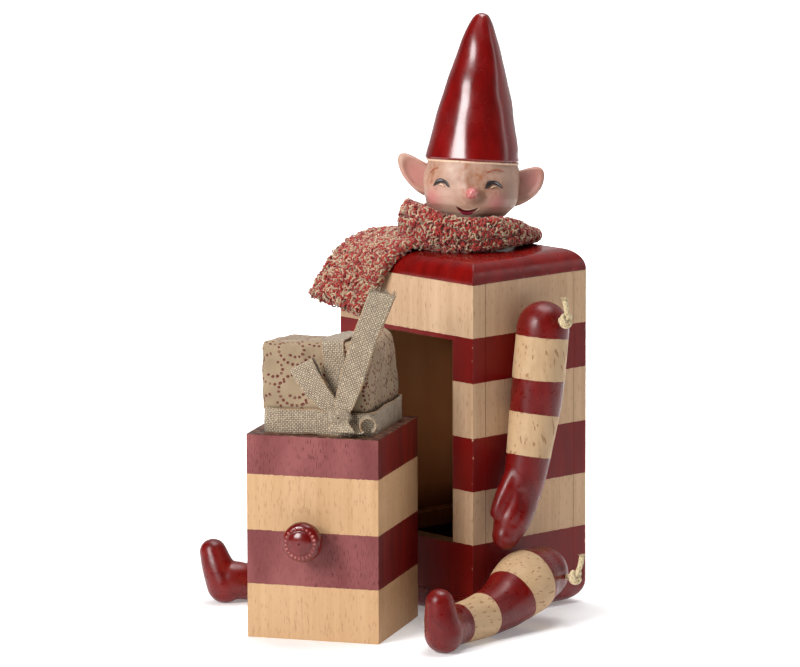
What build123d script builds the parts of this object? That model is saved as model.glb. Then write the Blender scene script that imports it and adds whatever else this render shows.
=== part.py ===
"""A wooden elf toy with a drawer in its belly, as an assembly of separate pieces.

The body is an upright striped box of glued boards, standing on the floor.
+X runs along its front face, +Y to its back and +Z up. The origin is the
middle of its underside. A turned head with a pointed hat stands on a neck
peg, two carved arms and two carved legs hang on knotted cords at the sides,
and the drawer stands on the floor in front of its bay, with a wrapped parcel
in it.
"""

from build123d import *
import os

# ---------------------------------------------------------------- body box
WIDTH = 91.0
DEPTH = 72.5
HEIGHT = 168.0
BOARD = 8.0
TOP_THICK = 10.2
TOP_ROUND = 9.9
BASE_THICK = 12.0
BASE_ROUND = 10.5
BAY_WIDTH = 63.6
BAY_FLOOR = 36.1
BAY_TOP = 131.1
RUNNER_WIDTH = 7.0
RUNNER_HEIGHT = 7.5

# ---------------------------------------------------------------- drawer
DRAWER_WIDTH = 62.6
DRAWER_DEPTH = 63.0
DRAWER_HEIGHT = 94.3
DRAWER_WALL = 6.5
DRAWER_FLOOR = 5.0
DRAWER_TURN = 31.0
DRAWER_CENTRE = (5.3, -86.6)
KNOB_HEIGHT = 47.5
KNOB_OFFSET = -1.8
KNOB_RADIUS = 9.2
KNOB_PROUD = 15.0
KNOB_STEM = 6.0
KNOB_NECK = 4.6
SCREW_RADIUS = 1.6
SCREW_HEAD = 3.2
SCREW_SINK = 2.0

# ---------------------------------------------------------------- parcel
PARCEL_WIDTH = 48.4
PARCEL_TOP = 137.0
PARCEL_ROUND = 5.0
RIBBON_WIDTH = 10.6
RIBBON_THICK = 0.6
RIBBON_X = 7.3
BAND_LOW = 95.0
GAP = 0.15
BOW_X = 13.0
BOW_HEIGHT = 103.0

# ---------------------------------------------------------------- head
NECK = (3.2, 3.5)
NECK_RADIUS = 4.0
PEG_PLAY = 0.08
HEAD_CENTRE = 194.0
HEAD_YAW = 47.6
HEAD_PITCH = 7.0
HEAD_ROLL = 3.2
HAT_RIM = 13.5
HAT_HEIGHT = 69.0
HAT_RADIUS = 21.2
NOSE_RADIUS = 2.8

# ---------------------------------------------------------------- limbs
SHOULDER = (58.4, -4.0, 140.6)
HIP = (62.0, -4.0, 22.0)
RIGHT_SPLAY = 9.0
LEFT_SPLAY = 1.5
LEFT_TOE_OUT = 7.0
CORD_RADIUS = 1.25
CORD_HOLE = 1.7
KNOT_RADIUS = 3.7
KNOT_TAIL = 10.0
TAIL_LEAN = 25.0
KNOT_GAP = 0.9

# ---------------------------------------------------------------- scarf
COLLAR_RADIUS = 30.0
COLLAR_HEIGHT = 19.0
COLLAR_STRETCH = 1.13
STRAP_LEFT = -45.0
STRAP_RIGHT = -17.5
STRAP_START = -23.5
STRAP_THICK = 7.0
SOFT_GAP = 0.3

os.makedirs("parts", exist_ok=True)


def save(shape, name):
    export_step(shape, f"parts/{name}.step")


def board(x0, x1, y0, y1, z0, z1):
    """A plain board between two opposite corners."""
    middle = ((x0 + x1) / 2, (y0 + y1) / 2, (z0 + z1) / 2)
    return Pos(*middle) * Box(x1 - x0, y1 - y0, z1 - z0)


def cross_hole(y, z, radius):
    """A rod along X, right through the body, for a cord's hole."""
    return Pos(0, y, z) * Rot(0, 90, 0) * Cylinder(radius, 3 * WIDTH)


def mirrored(shape):
    return mirror(shape, about=Plane.YZ)


# ================================================================ body box
HALF_W = WIDTH / 2
HALF_D = DEPTH / 2
UNDER_TOP = HEIGHT - TOP_THICK
CORD_HOLES = cross_hole(SHOULDER[1], SHOULDER[2], CORD_HOLE) + cross_hole(HIP[1], HIP[2], CORD_HOLE)


def top_board():
    slab = board(-HALF_W, HALF_W, -HALF_D, HALF_D, UNDER_TOP, HEIGHT)
    slab = fillet(slab.faces().sort_by(Axis.Z)[-1].edges(), TOP_ROUND)
    return slab - Pos(*NECK, HEIGHT) * Cylinder(NECK_RADIUS, 3 * TOP_THICK)


def base_board():
    slab = board(-HALF_W, HALF_W, -HALF_D, HALF_D, 0, BASE_THICK)
    return fillet(slab.faces().sort_by(Axis.Z)[0].edges(), BASE_ROUND)


def front_frame():
    slab = board(-HALF_W, HALF_W, -HALF_D, -HALF_D + BOARD, BASE_THICK, UNDER_TOP)
    bay = board(-BAY_WIDTH / 2, BAY_WIDTH / 2, -DEPTH, DEPTH, BAY_FLOOR, BAY_TOP)
    return slab - bay


def side_panel():
    slab = board(HALF_W - BOARD, HALF_W, -HALF_D + BOARD, HALF_D - BOARD, BASE_THICK, UNDER_TOP)
    return slab - CORD_HOLES


def back_panel():
    return board(-HALF_W, HALF_W, HALF_D - BOARD, HALF_D, BASE_THICK, UNDER_TOP)


def runner():
    inner = HALF_W - BOARD
    low = BAY_FLOOR - RUNNER_HEIGHT
    return board(inner - RUNNER_WIDTH, inner, -HALF_D + BOARD, HALF_D - BOARD, low, BAY_FLOOR)


# ================================================================ drawer
DRAWER_PLACE = Pos(*DRAWER_CENTRE, 0) * Rot(0, 0, DRAWER_TURN)
D_HALF_W = DRAWER_WIDTH / 2
D_HALF_D = DRAWER_DEPTH / 2


def drawer_front():
    """The front board, the full width, with the screw's hole through it."""
    slab = board(-D_HALF_W, D_HALF_W, -D_HALF_D, -D_HALF_D + DRAWER_WALL, 0, DRAWER_HEIGHT)
    inside = Pos(KNOB_OFFSET, -D_HALF_D + DRAWER_WALL, KNOB_HEIGHT) * Rot(90, 0, 0)
    return slab - inside * Cylinder(SCREW_RADIUS, 4 * DRAWER_WALL) - inside * Cylinder(SCREW_HEAD, 2 * SCREW_SINK)


def drawer_back():
    return board(-D_HALF_W, D_HALF_W, D_HALF_D - DRAWER_WALL, D_HALF_D, 0, DRAWER_HEIGHT)


def drawer_side():
    back = D_HALF_D - DRAWER_WALL
    return board(D_HALF_W - DRAWER_WALL, D_HALF_W, -back, back, 0, DRAWER_HEIGHT)


def drawer_bottom():
    x = D_HALF_W - DRAWER_WALL
    y = D_HALF_D - DRAWER_WALL
    return board(-x, x, -y, y, 0, DRAWER_FLOOR)


def drawer_knob():
    """A turned mushroom knob with a ring groove and a raised centre."""
    stem = KNOB_STEM
    proud = KNOB_PROUD
    rim = KNOB_RADIUS
    side = Line((KNOB_NECK, 0), (KNOB_NECK, stem))
    under = Line((KNOB_NECK, stem), (rim - 0.8, stem))
    edge = Spline((rim - 0.8, stem), (rim, stem + 1.6), (rim - 2.2, proud - 2.4), tangents=((1, 0), (-0.8, 0.6)))
    bead = Spline((rim - 2.2, proud - 2.4), (5.9, proud - 1.5), (5.0, proud - 1.8))
    crown = Spline((5.0, proud - 1.8), (4.2, proud - 0.7), (0, proud), tangents=((-0.3, 1), (-1, 0)))
    close = Polyline((0, proud), (0, 0), (KNOB_NECK, 0))
    solid = revolve(Plane.XZ * make_face(side + under + edge + bead + crown + close), Axis.Z)
    solid -= Pos(0, 0, stem / 2) * Cylinder(SCREW_RADIUS, stem)
    return Pos(KNOB_OFFSET, -D_HALF_D, KNOB_HEIGHT) * Rot(90, 0, 0) * solid


def knob_screw():
    """The screw that holds the knob, its head sunk in the inside of the front."""
    seat = -D_HALF_D + DRAWER_WALL - SCREW_SINK
    length = seat + D_HALF_D + KNOB_STEM - 1
    shank = Pos(0, seat - length / 2, 0) * Rot(90, 0, 0) * Cylinder(SCREW_RADIUS, length)
    head = Pos(0, seat + SCREW_SINK / 2, 0) * Rot(90, 0, 0) * Cylinder(SCREW_HEAD, SCREW_SINK)
    slot = Pos(0, seat + SCREW_SINK, 0) * Box(2 * SCREW_HEAD, 1.6, 0.8)
    return Pos(KNOB_OFFSET, 0, KNOB_HEIGHT) * (shank + head - slot)


# ================================================================ parcel
def parcel():
    """The soft wrapped parcel that stands in the drawer."""
    height = PARCEL_TOP - DRAWER_FLOOR - GAP
    block = Box(PARCEL_WIDTH, PARCEL_WIDTH, height)
    block = fillet(block.edges(), PARCEL_ROUND)
    return Pos(0, 0, PARCEL_TOP - height / 2) * block


def ring(inner, round_radius, thick, z0, z1):
    """A flat ribbon ring round a square with rounded corners."""
    outer = RectangleRounded(inner + 2 * thick, inner + 2 * thick, round_radius + thick)
    hollow = RectangleRounded(inner, inner, round_radius)
    return Pos(0, 0, z0) * extrude(outer - hollow, z1 - z0)


def ribbon_cross():
    """The ribbon that goes down the front, over the top and down the back."""
    inner = PARCEL_WIDTH + 2 * GAP
    low = DRAWER_HEIGHT - 4
    high = PARCEL_TOP + GAP
    half = inner / 2 + RIBBON_THICK
    outer = board(-RIBBON_WIDTH / 2, RIBBON_WIDTH / 2, -half, half, low, high + RIBBON_THICK)
    outer = fillet(outer.faces().sort_by(Axis.Z)[-1].edges().filter_by(Axis.X), PARCEL_ROUND + RIBBON_THICK)
    hollow = board(-RIBBON_WIDTH, RIBBON_WIDTH, -inner / 2, inner / 2, low - 1, high)
    hollow = fillet(hollow.faces().sort_by(Axis.Z)[-1].edges().filter_by(Axis.X), PARCEL_ROUND)
    return Pos(RIBBON_X, 0, 0) * (outer - hollow)


def ribbon_band():
    """The ribbon that goes round the parcel just above the drawer's rim."""
    inner = PARCEL_WIDTH + 4 * GAP + 2 * RIBBON_THICK
    return ring(inner, PARCEL_ROUND + RIBBON_THICK, RIBBON_THICK, BAND_LOW, BAND_LOW + RIBBON_WIDTH)


BOW_Y = -(PARCEL_WIDTH / 2 + 4 * GAP + 2 * RIBBON_THICK)


def ribbon_knot():
    """The knot, a soft lump in front of the band."""
    size = (6.4, 2.8, 6.0)
    place = Pos(BOW_X, BOW_Y - size[1] - 2 * GAP, BOW_HEIGHT + 0.4)
    return place * scale(Sphere(1), by=size)


def ribbon_strip(path, width):
    """A strip of ribbon along a path in the plane x = 0, standing to width along X."""
    face = offset(path, RIBBON_THICK, kind=Kind.INTERSECTION, side=Side.BOTH)
    return extrude(Plane.YZ * make_face(face), width / 2, both=True)


def ribbon_tail():
    """The long tail, up from the knot and back over the parcel's top."""
    path = Polyline((-31.8, 110.5), (-30.2, 124), (-27.6, 138), (-20.5, 149.5), (-14.0, 159.5))
    return Pos(BOW_X + 8.0, 0, 0) * ribbon_strip(path, RIBBON_WIDTH)


def ribbon_loop():
    """The short folded loop, up to the other side of the knot."""
    path = Polyline((-30.6, 110.8), (-33.0, 118), (-31.0, 127))
    return Pos(BOW_X - 13.0, 0, 0) * ribbon_strip(path, RIBBON_WIDTH)


# ================================================================ head
HEAD_PLACE = Pos(*NECK, HEAD_CENTRE) * Rot(0, 0, HEAD_YAW) * Rot(-HEAD_PITCH, 0, 0) * Rot(0, HEAD_ROLL, 0)


def head_ball():
    """The turned ball of the head, flat on top for the hat."""
    outline = Spline(
        (20.9, HAT_RIM), (22.3, 5), (22.2, -3), (18.6, -10.5), (11.0, -16.0),
    )
    chin = Polyline((11.0, -16.0), (0, -16.0), (0, HAT_RIM), (20.9, HAT_RIM))
    return revolve(Plane.XZ * make_face(outline + chin), Axis.Z)


def head():
    """The head with its nose, and the hole for the neck peg."""
    nose = Pos(0, -22.6, -1.2) * Rot(0, 90, 0) * Sphere(NOSE_RADIUS)
    solid = HEAD_PLACE * (head_ball() + nose)
    peg_hole = Pos(*NECK, HEAD_CENTRE - 14) * Cylinder(NECK_RADIUS + PEG_PLAY, 24)
    return solid - peg_hole


def hat():
    """The pointed hat, a little wider than the head where it sits on it."""
    outline = Spline(
        (HAT_RADIUS, HAT_RIM + 1.5), (17.2, HAT_RIM + 24), (12.0, HAT_RIM + 44),
        (6.6, HAT_RIM + 61), (3.4, HAT_RIM + 66), (0, HAT_RIM + HAT_HEIGHT), tangents=((-0.05, 1), (-1, 0)),
    )
    edge = Polyline((0, HAT_RIM + HAT_HEIGHT), (0, HAT_RIM), (HAT_RADIUS, HAT_RIM), (HAT_RADIUS, HAT_RIM + 1.5))
    return HEAD_PLACE * revolve(Plane.XZ * make_face(outline + edge), Axis.Z)


def ear():
    """A pointed ear on the +X side of the head, in the head's own frame."""
    outline = Spline(
        (18.0, 9.0), (27.4, 13.6), (32.6, 13.2), (33.0, 8.0), (28.0, 1.2), (18.0, -5.5),
    )
    plate = extrude(Plane.XZ * make_face(outline + Line((18.0, -5.5), (18.0, 9.0))), 2.6, both=True)
    return plate - head_ball()


def neck_peg():
    low = UNDER_TOP - 8
    high = HEAD_CENTRE - 3
    return Pos(*NECK, (low + high) / 2) * Cylinder(NECK_RADIUS, high - low)


# ================================================================ limbs
def dome(radius):
    """Half a ball, flat side down on its own origin."""
    return Sphere(radius, arc_size1=0, arc_size2=90, align=(Align.CENTER, Align.CENTER, Align.MIN))


def tube(stations):
    """A limb: rings of the given radii along a line, with a dome at each end."""
    points = [Vector(*s[:3]) for s in stations]
    radii = [s[3] for s in stations]
    count = len(points)
    rings = []
    for i, point in enumerate(points):
        ahead = points[min(i + 1, count - 1)] - points[max(i - 1, 0)]
        rings.append(Plane(point, z_dir=ahead) * Circle(radii[i]))
    solid = loft(rings)
    solid += Plane(points[0], z_dir=points[0] - points[1]) * dome(radii[0])
    return solid + Plane(points[-1], z_dir=points[-1] - points[-2]) * dome(radii[-1])


ARM_RINGS = (
    (0, 0, -4.0, 12.2), (0, -1.6, -16, 12.3), (0, -4.2, -36, 12.1), (0, -7.8, -55, 10.9),
    (0, -11.2, -71, 9.8), (-0.5, -15.2, -84, 9.2), (-0.6, -18.8, -93, 8.2), (-0.6, -21.5, -99.0, 5.6),
)
THUMB_RINGS = ((-1.5, -22.0, -78, 3.6), (-3.4, -26.6, -87, 3.6))
LEG_RINGS = (
    (0, 0, 0, 15.0), (0, -18, -2.0, 15.5), (0, -34, -8.6, 12.2), (0, -48, -11.4, 10.5),
    (0, -62, -12.4, 9.6), (0, -72, -12.9, 9.1),
)
HEEL_RING = (5.0, -83, -13.3, 8.7)
TOE_RING = (4.0, -84.5, 1.5, 6.4)


def arm():
    solid = tube(ARM_RINGS) + tube(THUMB_RINGS)
    return Pos(*SHOULDER) * solid - CORD_HOLES


def leg(splay, toe_out):
    """A leg on the +X side, turned out at the hip and with its toe leaning out."""
    toe = (TOE_RING[0] + toe_out, *TOE_RING[1:])
    solid = tube(LEG_RINGS) + tube((HEEL_RING, toe))
    solid = Pos(*HIP) * Rot(0, 0, splay) * solid
    return solid - CORD_HOLES


def knot(x, y, z):
    """A knot outside a limb, on the +X side, with a short tail standing up."""
    middle = x + KNOT_GAP + KNOT_RADIUS
    ball = Pos(middle, y, z) * Sphere(KNOT_RADIUS)
    ball -= board(x - 9, x + KNOT_GAP + 0.7, y - 9, y + 9, z - 9, z + 9)
    tail = Pos(middle, y, z) * Rot(TAIL_LEAN, 0, 0) * Pos(0, 0, KNOT_TAIL / 2)
    return ball + tail * Cylinder(CORD_RADIUS, KNOT_TAIL)


def cord(x, y, z):
    """The cord between the two knots, straight through the body."""
    half = x + KNOT_GAP + 0.7
    return Pos(0, y, z) * Rot(0, 90, 0) * Cylinder(CORD_RADIUS, 2 * half)


ARM_FACE = SHOULDER[0] + 12.2
LEG_FACE = HIP[0] + 15.2


# ================================================================ scarf
def scarf_collar():
    """The roll of the scarf round the neck, hollow for the turning head."""
    low = HEIGHT + SOFT_GAP
    outer = Spline(
        (22, low), (COLLAR_RADIUS - 1.5, low + 2.5), (COLLAR_RADIUS, low + 9),
        (COLLAR_RADIUS - 2, low + COLLAR_HEIGHT - 2), (25.5, low + COLLAR_HEIGHT), tangents=((1, 0), (-1, -0.3)),
    )
    inner = Polyline((25.5, low + COLLAR_HEIGHT), (23.4, HEIGHT + 17), (16, HEIGHT + 10), (16, low), (22, low))
    roll = revolve(Plane.XZ * make_face(outer + inner), Axis.Z)
    return Pos(*NECK, 0) * Rot(0, 0, HEAD_YAW) * scale(roll, by=(COLLAR_STRETCH, 1, 1))


def scarf_end():
    """The end of the scarf, over the top's rounded front edge and down the front."""
    edge = (-HALF_D + TOP_ROUND, HEIGHT - TOP_ROUND)
    inner = TOP_ROUND + SOFT_GAP
    outer = inner + STRAP_THICK
    front = edge[0] - inner
    bottom = (front - 5.5, 140.0)
    lip = (front - STRAP_THICK - 5.5, 143.0)
    outline = Line((STRAP_START, edge[1] + inner), (edge[0], edge[1] + inner))
    outline += CenterArc(edge, inner, 90, 90)
    outline += Polyline((front, edge[1]), (front, 152), bottom, lip, (front - STRAP_THICK, 154), (edge[0] - outer, edge[1]))
    outline += CenterArc(edge, outer, 90, 90)
    outline += Polyline((edge[0], edge[1] + outer), (STRAP_START, edge[1] + outer), (STRAP_START, edge[1] + inner))
    strip = extrude(Plane.YZ * make_face(outline), STRAP_RIGHT - STRAP_LEFT)
    return Pos(STRAP_LEFT, 0, 0) * strip


def main():
    save(top_board(), "top_board")
    save(base_board(), "base_board")
    save(front_frame(), "front_frame")
    save(back_panel(), "back_panel")
    save(side_panel(), "right_side_panel")
    save(mirrored(side_panel()), "left_side_panel")
    save(runner(), "right_runner")
    save(mirrored(runner()), "left_runner")

    save(DRAWER_PLACE * drawer_front(), "drawer_front")
    save(DRAWER_PLACE * drawer_back(), "drawer_back")
    save(DRAWER_PLACE * drawer_side(), "drawer_right_side")
    save(DRAWER_PLACE * mirrored(drawer_side()), "drawer_left_side")
    save(DRAWER_PLACE * drawer_bottom(), "drawer_bottom")
    save(DRAWER_PLACE * drawer_knob(), "drawer_knob")
    save(DRAWER_PLACE * knob_screw(), "knob_screw")

    save(DRAWER_PLACE * parcel(), "parcel")
    save(DRAWER_PLACE * ribbon_cross(), "ribbon_cross")
    save(DRAWER_PLACE * ribbon_band(), "ribbon_band")
    save(DRAWER_PLACE * ribbon_knot(), "ribbon_knot")
    save(DRAWER_PLACE * ribbon_tail(), "ribbon_tail")
    save(DRAWER_PLACE * ribbon_loop(), "ribbon_loop")

    save(head(), "head")
    save(hat(), "hat")
    save(HEAD_PLACE * ear(), "left_ear")
    save(HEAD_PLACE * mirrored(ear()), "right_ear")
    save(neck_peg(), "neck_peg")

    save(arm(), "right_arm")
    save(mirrored(arm()), "left_arm")
    save(leg(RIGHT_SPLAY, 0), "right_leg")
    save(mirrored(leg(LEFT_SPLAY, LEFT_TOE_OUT)), "left_leg")
    save(cord(ARM_FACE, SHOULDER[1], SHOULDER[2]), "arm_cord")
    save(cord(LEG_FACE, HIP[1], HIP[2]), "leg_cord")
    save(knot(ARM_FACE, SHOULDER[1], SHOULDER[2]), "right_arm_knot")
    save(mirrored(knot(ARM_FACE, SHOULDER[1], SHOULDER[2])), "left_arm_knot")
    save(knot(LEG_FACE, HIP[1], HIP[2]), "right_leg_knot")
    save(mirrored(knot(LEG_FACE, HIP[1], HIP[2])), "left_leg_knot")

    save(scarf_collar(), "scarf_collar")
    save(scarf_end(), "scarf_end")


main()
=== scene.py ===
"""Looks of the wooden elf toy: a striped box body with a drawer and parcel, head, hat, scarf and limbs."""

import math
import random

import bmesh
import bpy
import numpy as np
from mathutils import Matrix, Vector, kdtree, noise


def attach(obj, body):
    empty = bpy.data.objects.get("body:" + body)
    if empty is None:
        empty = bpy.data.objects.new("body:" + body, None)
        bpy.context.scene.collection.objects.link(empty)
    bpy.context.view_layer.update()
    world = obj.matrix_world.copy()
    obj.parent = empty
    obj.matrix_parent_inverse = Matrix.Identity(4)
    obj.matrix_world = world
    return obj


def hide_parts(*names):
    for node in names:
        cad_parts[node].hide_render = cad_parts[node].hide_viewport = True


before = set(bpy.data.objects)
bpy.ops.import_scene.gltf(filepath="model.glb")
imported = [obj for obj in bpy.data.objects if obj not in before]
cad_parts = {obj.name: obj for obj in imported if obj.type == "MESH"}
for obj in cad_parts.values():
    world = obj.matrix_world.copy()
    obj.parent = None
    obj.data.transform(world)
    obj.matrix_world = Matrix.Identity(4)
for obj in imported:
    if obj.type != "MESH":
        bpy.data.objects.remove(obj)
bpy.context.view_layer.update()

# ---------------------------------------------------------------- sizes, in millimetres
MM = 0.001
WIDTH = 91.0
DEPTH = 72.5
HEIGHT = 168.0
BODY_EDGES = (0.0, 36.1, 61.5, 86.5, 112.0, 132.9, 157.8)
DRAWER_SPOT = (5.3, -86.6, 0.0)
DRAWER_TURN = math.radians(31)
DRAWER_PLACE = Matrix.Translation(DRAWER_SPOT) @ Matrix.Rotation(DRAWER_TURN, 4, "Z")
DRAWER_HALF = (31.3, 31.5)
DRAWER_EDGES = (0.0, 25.0, 50.0, 75.7)
KNOB = (-1.8, -31.5, 47.5)
BOARD_SEAM = 28.2
NECK = (3.2, 3.5)
HEAD_YAW = math.radians(47.6)
HEAD_PLACE = (
    Matrix.Translation((NECK[0], NECK[1], 194.0))
    @ Matrix.Rotation(HEAD_YAW, 4, "Z")
    @ Matrix.Rotation(math.radians(-7), 4, "X")
    @ Matrix.Rotation(math.radians(3.2), 4, "Y")
)
DOUBLED = 0.02 * MM
COAT_DEPTH = 0.25
HEAD_SHIFT = 0.7
SHOULDER = (58.4, -4.0, 140.6)
HIP = (62.0, -4.0, 22.0)
ARM_FACE = 70.6
LEG_FACE = 77.2


# ---------------------------------------------------------------- colours
def tone(red, green, blue):
    """A colour given as it looks on a screen, turned to a linear one."""
    def linear(value):
        value /= 255
        return value / 12.92 if value <= 0.04045 else ((value + 0.055) / 1.055) ** 2.4
    return (linear(red), linear(green), linear(blue), 1.0)


# ---------------------------------------------------------------- materials
class Paint:
    """One material, built node by node over the Principled shader."""

    def __init__(self, name, **sockets):
        self.material = bpy.data.materials.new(name)
        self.material.use_nodes = True
        self.tree = self.material.node_tree
        self.shader = self.tree.nodes["Principled BSDF"]
        for socket, value in sockets.items():
            self.shader.inputs[socket.replace("_", " ")].default_value = value
        self.place = self.node("TexCoord").outputs["Object"]

    def node(self, kind, inputs=None, **settings):
        made = self.tree.nodes.new("ShaderNode" + kind)
        for setting, value in settings.items():
            setattr(made, setting, value)
        for socket, value in (inputs or {}).items():
            if isinstance(value, bpy.types.NodeSocket):
                self.tree.links.new(value, made.inputs[socket])
            else:
                made.inputs[socket].default_value = value
        return made

    def math(self, operation, *values):
        return self.node("Math", dict(enumerate(values)), operation=operation).outputs[0]

    def plus(self, a, b):
        return self.math("ADD", a, b)

    def minus(self, a, b):
        return self.math("SUBTRACT", a, b)

    def times(self, a, b):
        return self.math("MULTIPLY", a, b)

    def size(self, a):
        """The value without its sign."""
        return self.math("ABSOLUTE", a)

    def above(self, a, b):
        """1 where a is more than b, and 0 elsewhere."""
        return self.math("GREATER_THAN", a, b)

    def below(self, a, b):
        """1 where a is less than b, and 0 elsewhere."""
        return self.math("LESS_THAN", a, b)

    def local(self, location, rotation):
        """The place in a frame that stands at location, turned by rotation."""
        inputs = {"Vector": self.place, "Location": location, "Rotation": rotation}
        return self.node("Mapping", inputs, vector_type="TEXTURE").outputs[0]

    def scaled(self, scale, place=None):
        return self.node("Mapping", {"Vector": place or self.place, "Scale": scale}).outputs[0]

    def noise(self, scale, detail=2.0, place=None, roughness=0.5):
        inputs = {"Vector": self.scaled(scale, place), "Scale": 1.0, "Detail": detail, "Roughness": roughness}
        return self.node("TexNoise", inputs).outputs[0]

    def span(self, value, low, high, to_low=0.0, to_high=1.0):
        inputs = {"Value": value, "From Min": low, "From Max": high, "To Min": to_low, "To Max": to_high}
        return self.node("MapRange", inputs).outputs[0]

    def mix(self, factor, a, b, mode="MIX"):
        return self.node("Mix", {0: factor, 6: a, 7: b}, data_type="RGBA", blend_type=mode).outputs[2]

    def axes(self, place):
        return self.node("SeparateXYZ", {0: place}).outputs

    def bands(self, value, edges, top):
        """1 where value, in metres, is in the first, third, fifth band and so on, and 0 between."""
        share = self.math("DIVIDE", value, top * MM)
        ramp = self.node("ValToRGB", {0: share})
        ramp.color_ramp.interpolation = "CONSTANT"
        elements = ramp.color_ramp.elements
        elements[1].position = edges[1] / top
        for edge in edges[2:]:
            elements.new(edge / top)
        for index, element in enumerate(elements):
            level = 1.0 if index % 2 == 0 else 0.0
            element.color = (level, level, level, 1.0)
        return ramp.outputs[0]

    def bump(self, height, distance, strength=1.0, under=None):
        inputs = {"Height": height, "Distance": distance * MM, "Strength": strength}
        if under is not None:
            inputs["Normal"] = under
        return self.node("Bump", inputs).outputs[0]

    def finish(self, colour, roughness=None, normal=None):
        for socket, value in (("Base Color", colour), ("Roughness", roughness), ("Normal", normal)):
            if isinstance(value, bpy.types.NodeSocket):
                self.tree.links.new(value, self.shader.inputs[socket])
            elif value is not None:
                self.shader.inputs[socket].default_value = value
        return self.material


BEECH_LIGHT = tone(214, 180, 146)
BEECH_DARK = tone(194, 158, 124)
BEECH_FLECK = tone(150, 108, 72)
RED = tone(120, 13, 9)
RED_DEEP = tone(104, 10, 7)
# Painted sheen: the drawer front's red drawn pinker and lighter, standing for the soft reflection of the lamps on it.
FRONT_SHEEN_RED = tone(142, 80, 78)
FRONT_SHEEN_RED_DEEP = tone(118, 58, 58)


def beech(paint, place, fleck=(0.9, 6.0), amount=0.75, light=BEECH_LIGHT, dark=BEECH_DARK):
    """The colour and the height of beech, with its grain along the frame's Z."""
    wide, long = fleck
    streaks = paint.noise((320, 320, 9), 5.0, place, 0.62)
    clouds = paint.noise((38, 38, 14), 3.0, place)
    grain = paint.plus(paint.times(streaks, 0.62), paint.times(clouds, 0.38))
    ground = paint.mix(paint.span(grain, 0.36, 0.64), light, dark)
    dashes = paint.noise((1000 / wide, 1000 / wide, 1000 / long), 1.0, place)
    flecks = paint.span(dashes, 0.62, 0.7, 0.0, amount)
    fine = paint.noise((2600, 2600, 120), 2.0, place)
    colour = paint.mix(flecks, ground, BEECH_FLECK)
    colour = paint.mix(paint.span(fine, 0.35, 0.75, 0.0, 0.22), colour, dark)
    height = paint.minus(fine, paint.times(flecks, 0.8))
    return colour, height


def red_coat(paint, place, light=RED, deep=RED_DEEP):
    """The colour and the height of brushed red paint over grain along the frame's Z."""
    brush = paint.noise((150, 150, 22), 4.0, place)
    colour = paint.mix(paint.span(brush, 0.35, 0.68), light, deep)
    dust = paint.noise((1500, 1500, 1100), 2.0, place)
    specks = paint.span(dust, 0.8, 0.85, 0.0, 0.2)
    colour = paint.mix(specks, colour, tone(190, 120, 105))
    height = paint.plus(paint.times(brush, 0.7), paint.times(dust, 0.3))
    return colour, height


def striped_boards():
    """Red and bare bands by height, on the outside faces only, with painted shade low inside the bay."""
    paint = Paint("striped_boards", Specular_IOR_Level=0.24)
    x, y, z = paint.axes(paint.place)
    wobble = paint.span(paint.noise((420, 420, 60), 2.0), 0.3, 0.7, -0.12 * MM, 0.12 * MM)
    red = paint.bands(paint.plus(z, wobble), BODY_EDGES, HEIGHT)
    out_x = paint.minus(paint.size(x), (WIDTH / 2 - COAT_DEPTH) * MM)
    out_y = paint.minus(paint.size(y), (DEPTH / 2 - COAT_DEPTH) * MM)
    outside = paint.above(paint.math("MAXIMUM", out_x, out_y), 0.0)
    edge = paint.above(paint.math("MINIMUM", out_x, out_y), -0.35 * MM)
    chips = paint.above(paint.noise((330, 330, 330), 3.0), 0.635)
    worn = paint.times(edge, chips)
    painted = paint.times(paint.times(red, outside), paint.minus(1.0, worn))
    wood, wood_height = beech(paint, paint.place, (0.7, 4.2), 0.5)
    coat, coat_height = red_coat(paint, paint.place)
    raw = paint.mix(paint.noise((60, 60, 20), 3.0), tone(206, 158, 110), tone(176, 128, 84))
    # Painted shade: the bare wood inside the bay drawn darker towards its floor and sill, where the drawer shades it.
    raw = paint.mix(paint.span(z, 33 * MM, 48 * MM, 0.85, 0.0), raw, tone(54, 30, 18))
    seam = paint.size(paint.minus(paint.size(y), BOARD_SEAM * MM))
    seam = paint.times(paint.below(seam, 0.13 * MM), paint.above(out_x, 0.0))
    wood = paint.mix(paint.times(seam, 0.8), wood, tone(84, 56, 40))
    bare = paint.mix(outside, raw, wood)
    colour = paint.mix(painted, bare, coat)
    roughness = paint.minus(0.62, paint.times(painted, 0.26))
    raised = paint.times(painted, 0.5)
    height = paint.plus(raised, paint.mix(painted, wood_height, coat_height))
    return paint.finish(colour, roughness, paint.bump(height, 0.09, 0.6))


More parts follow.
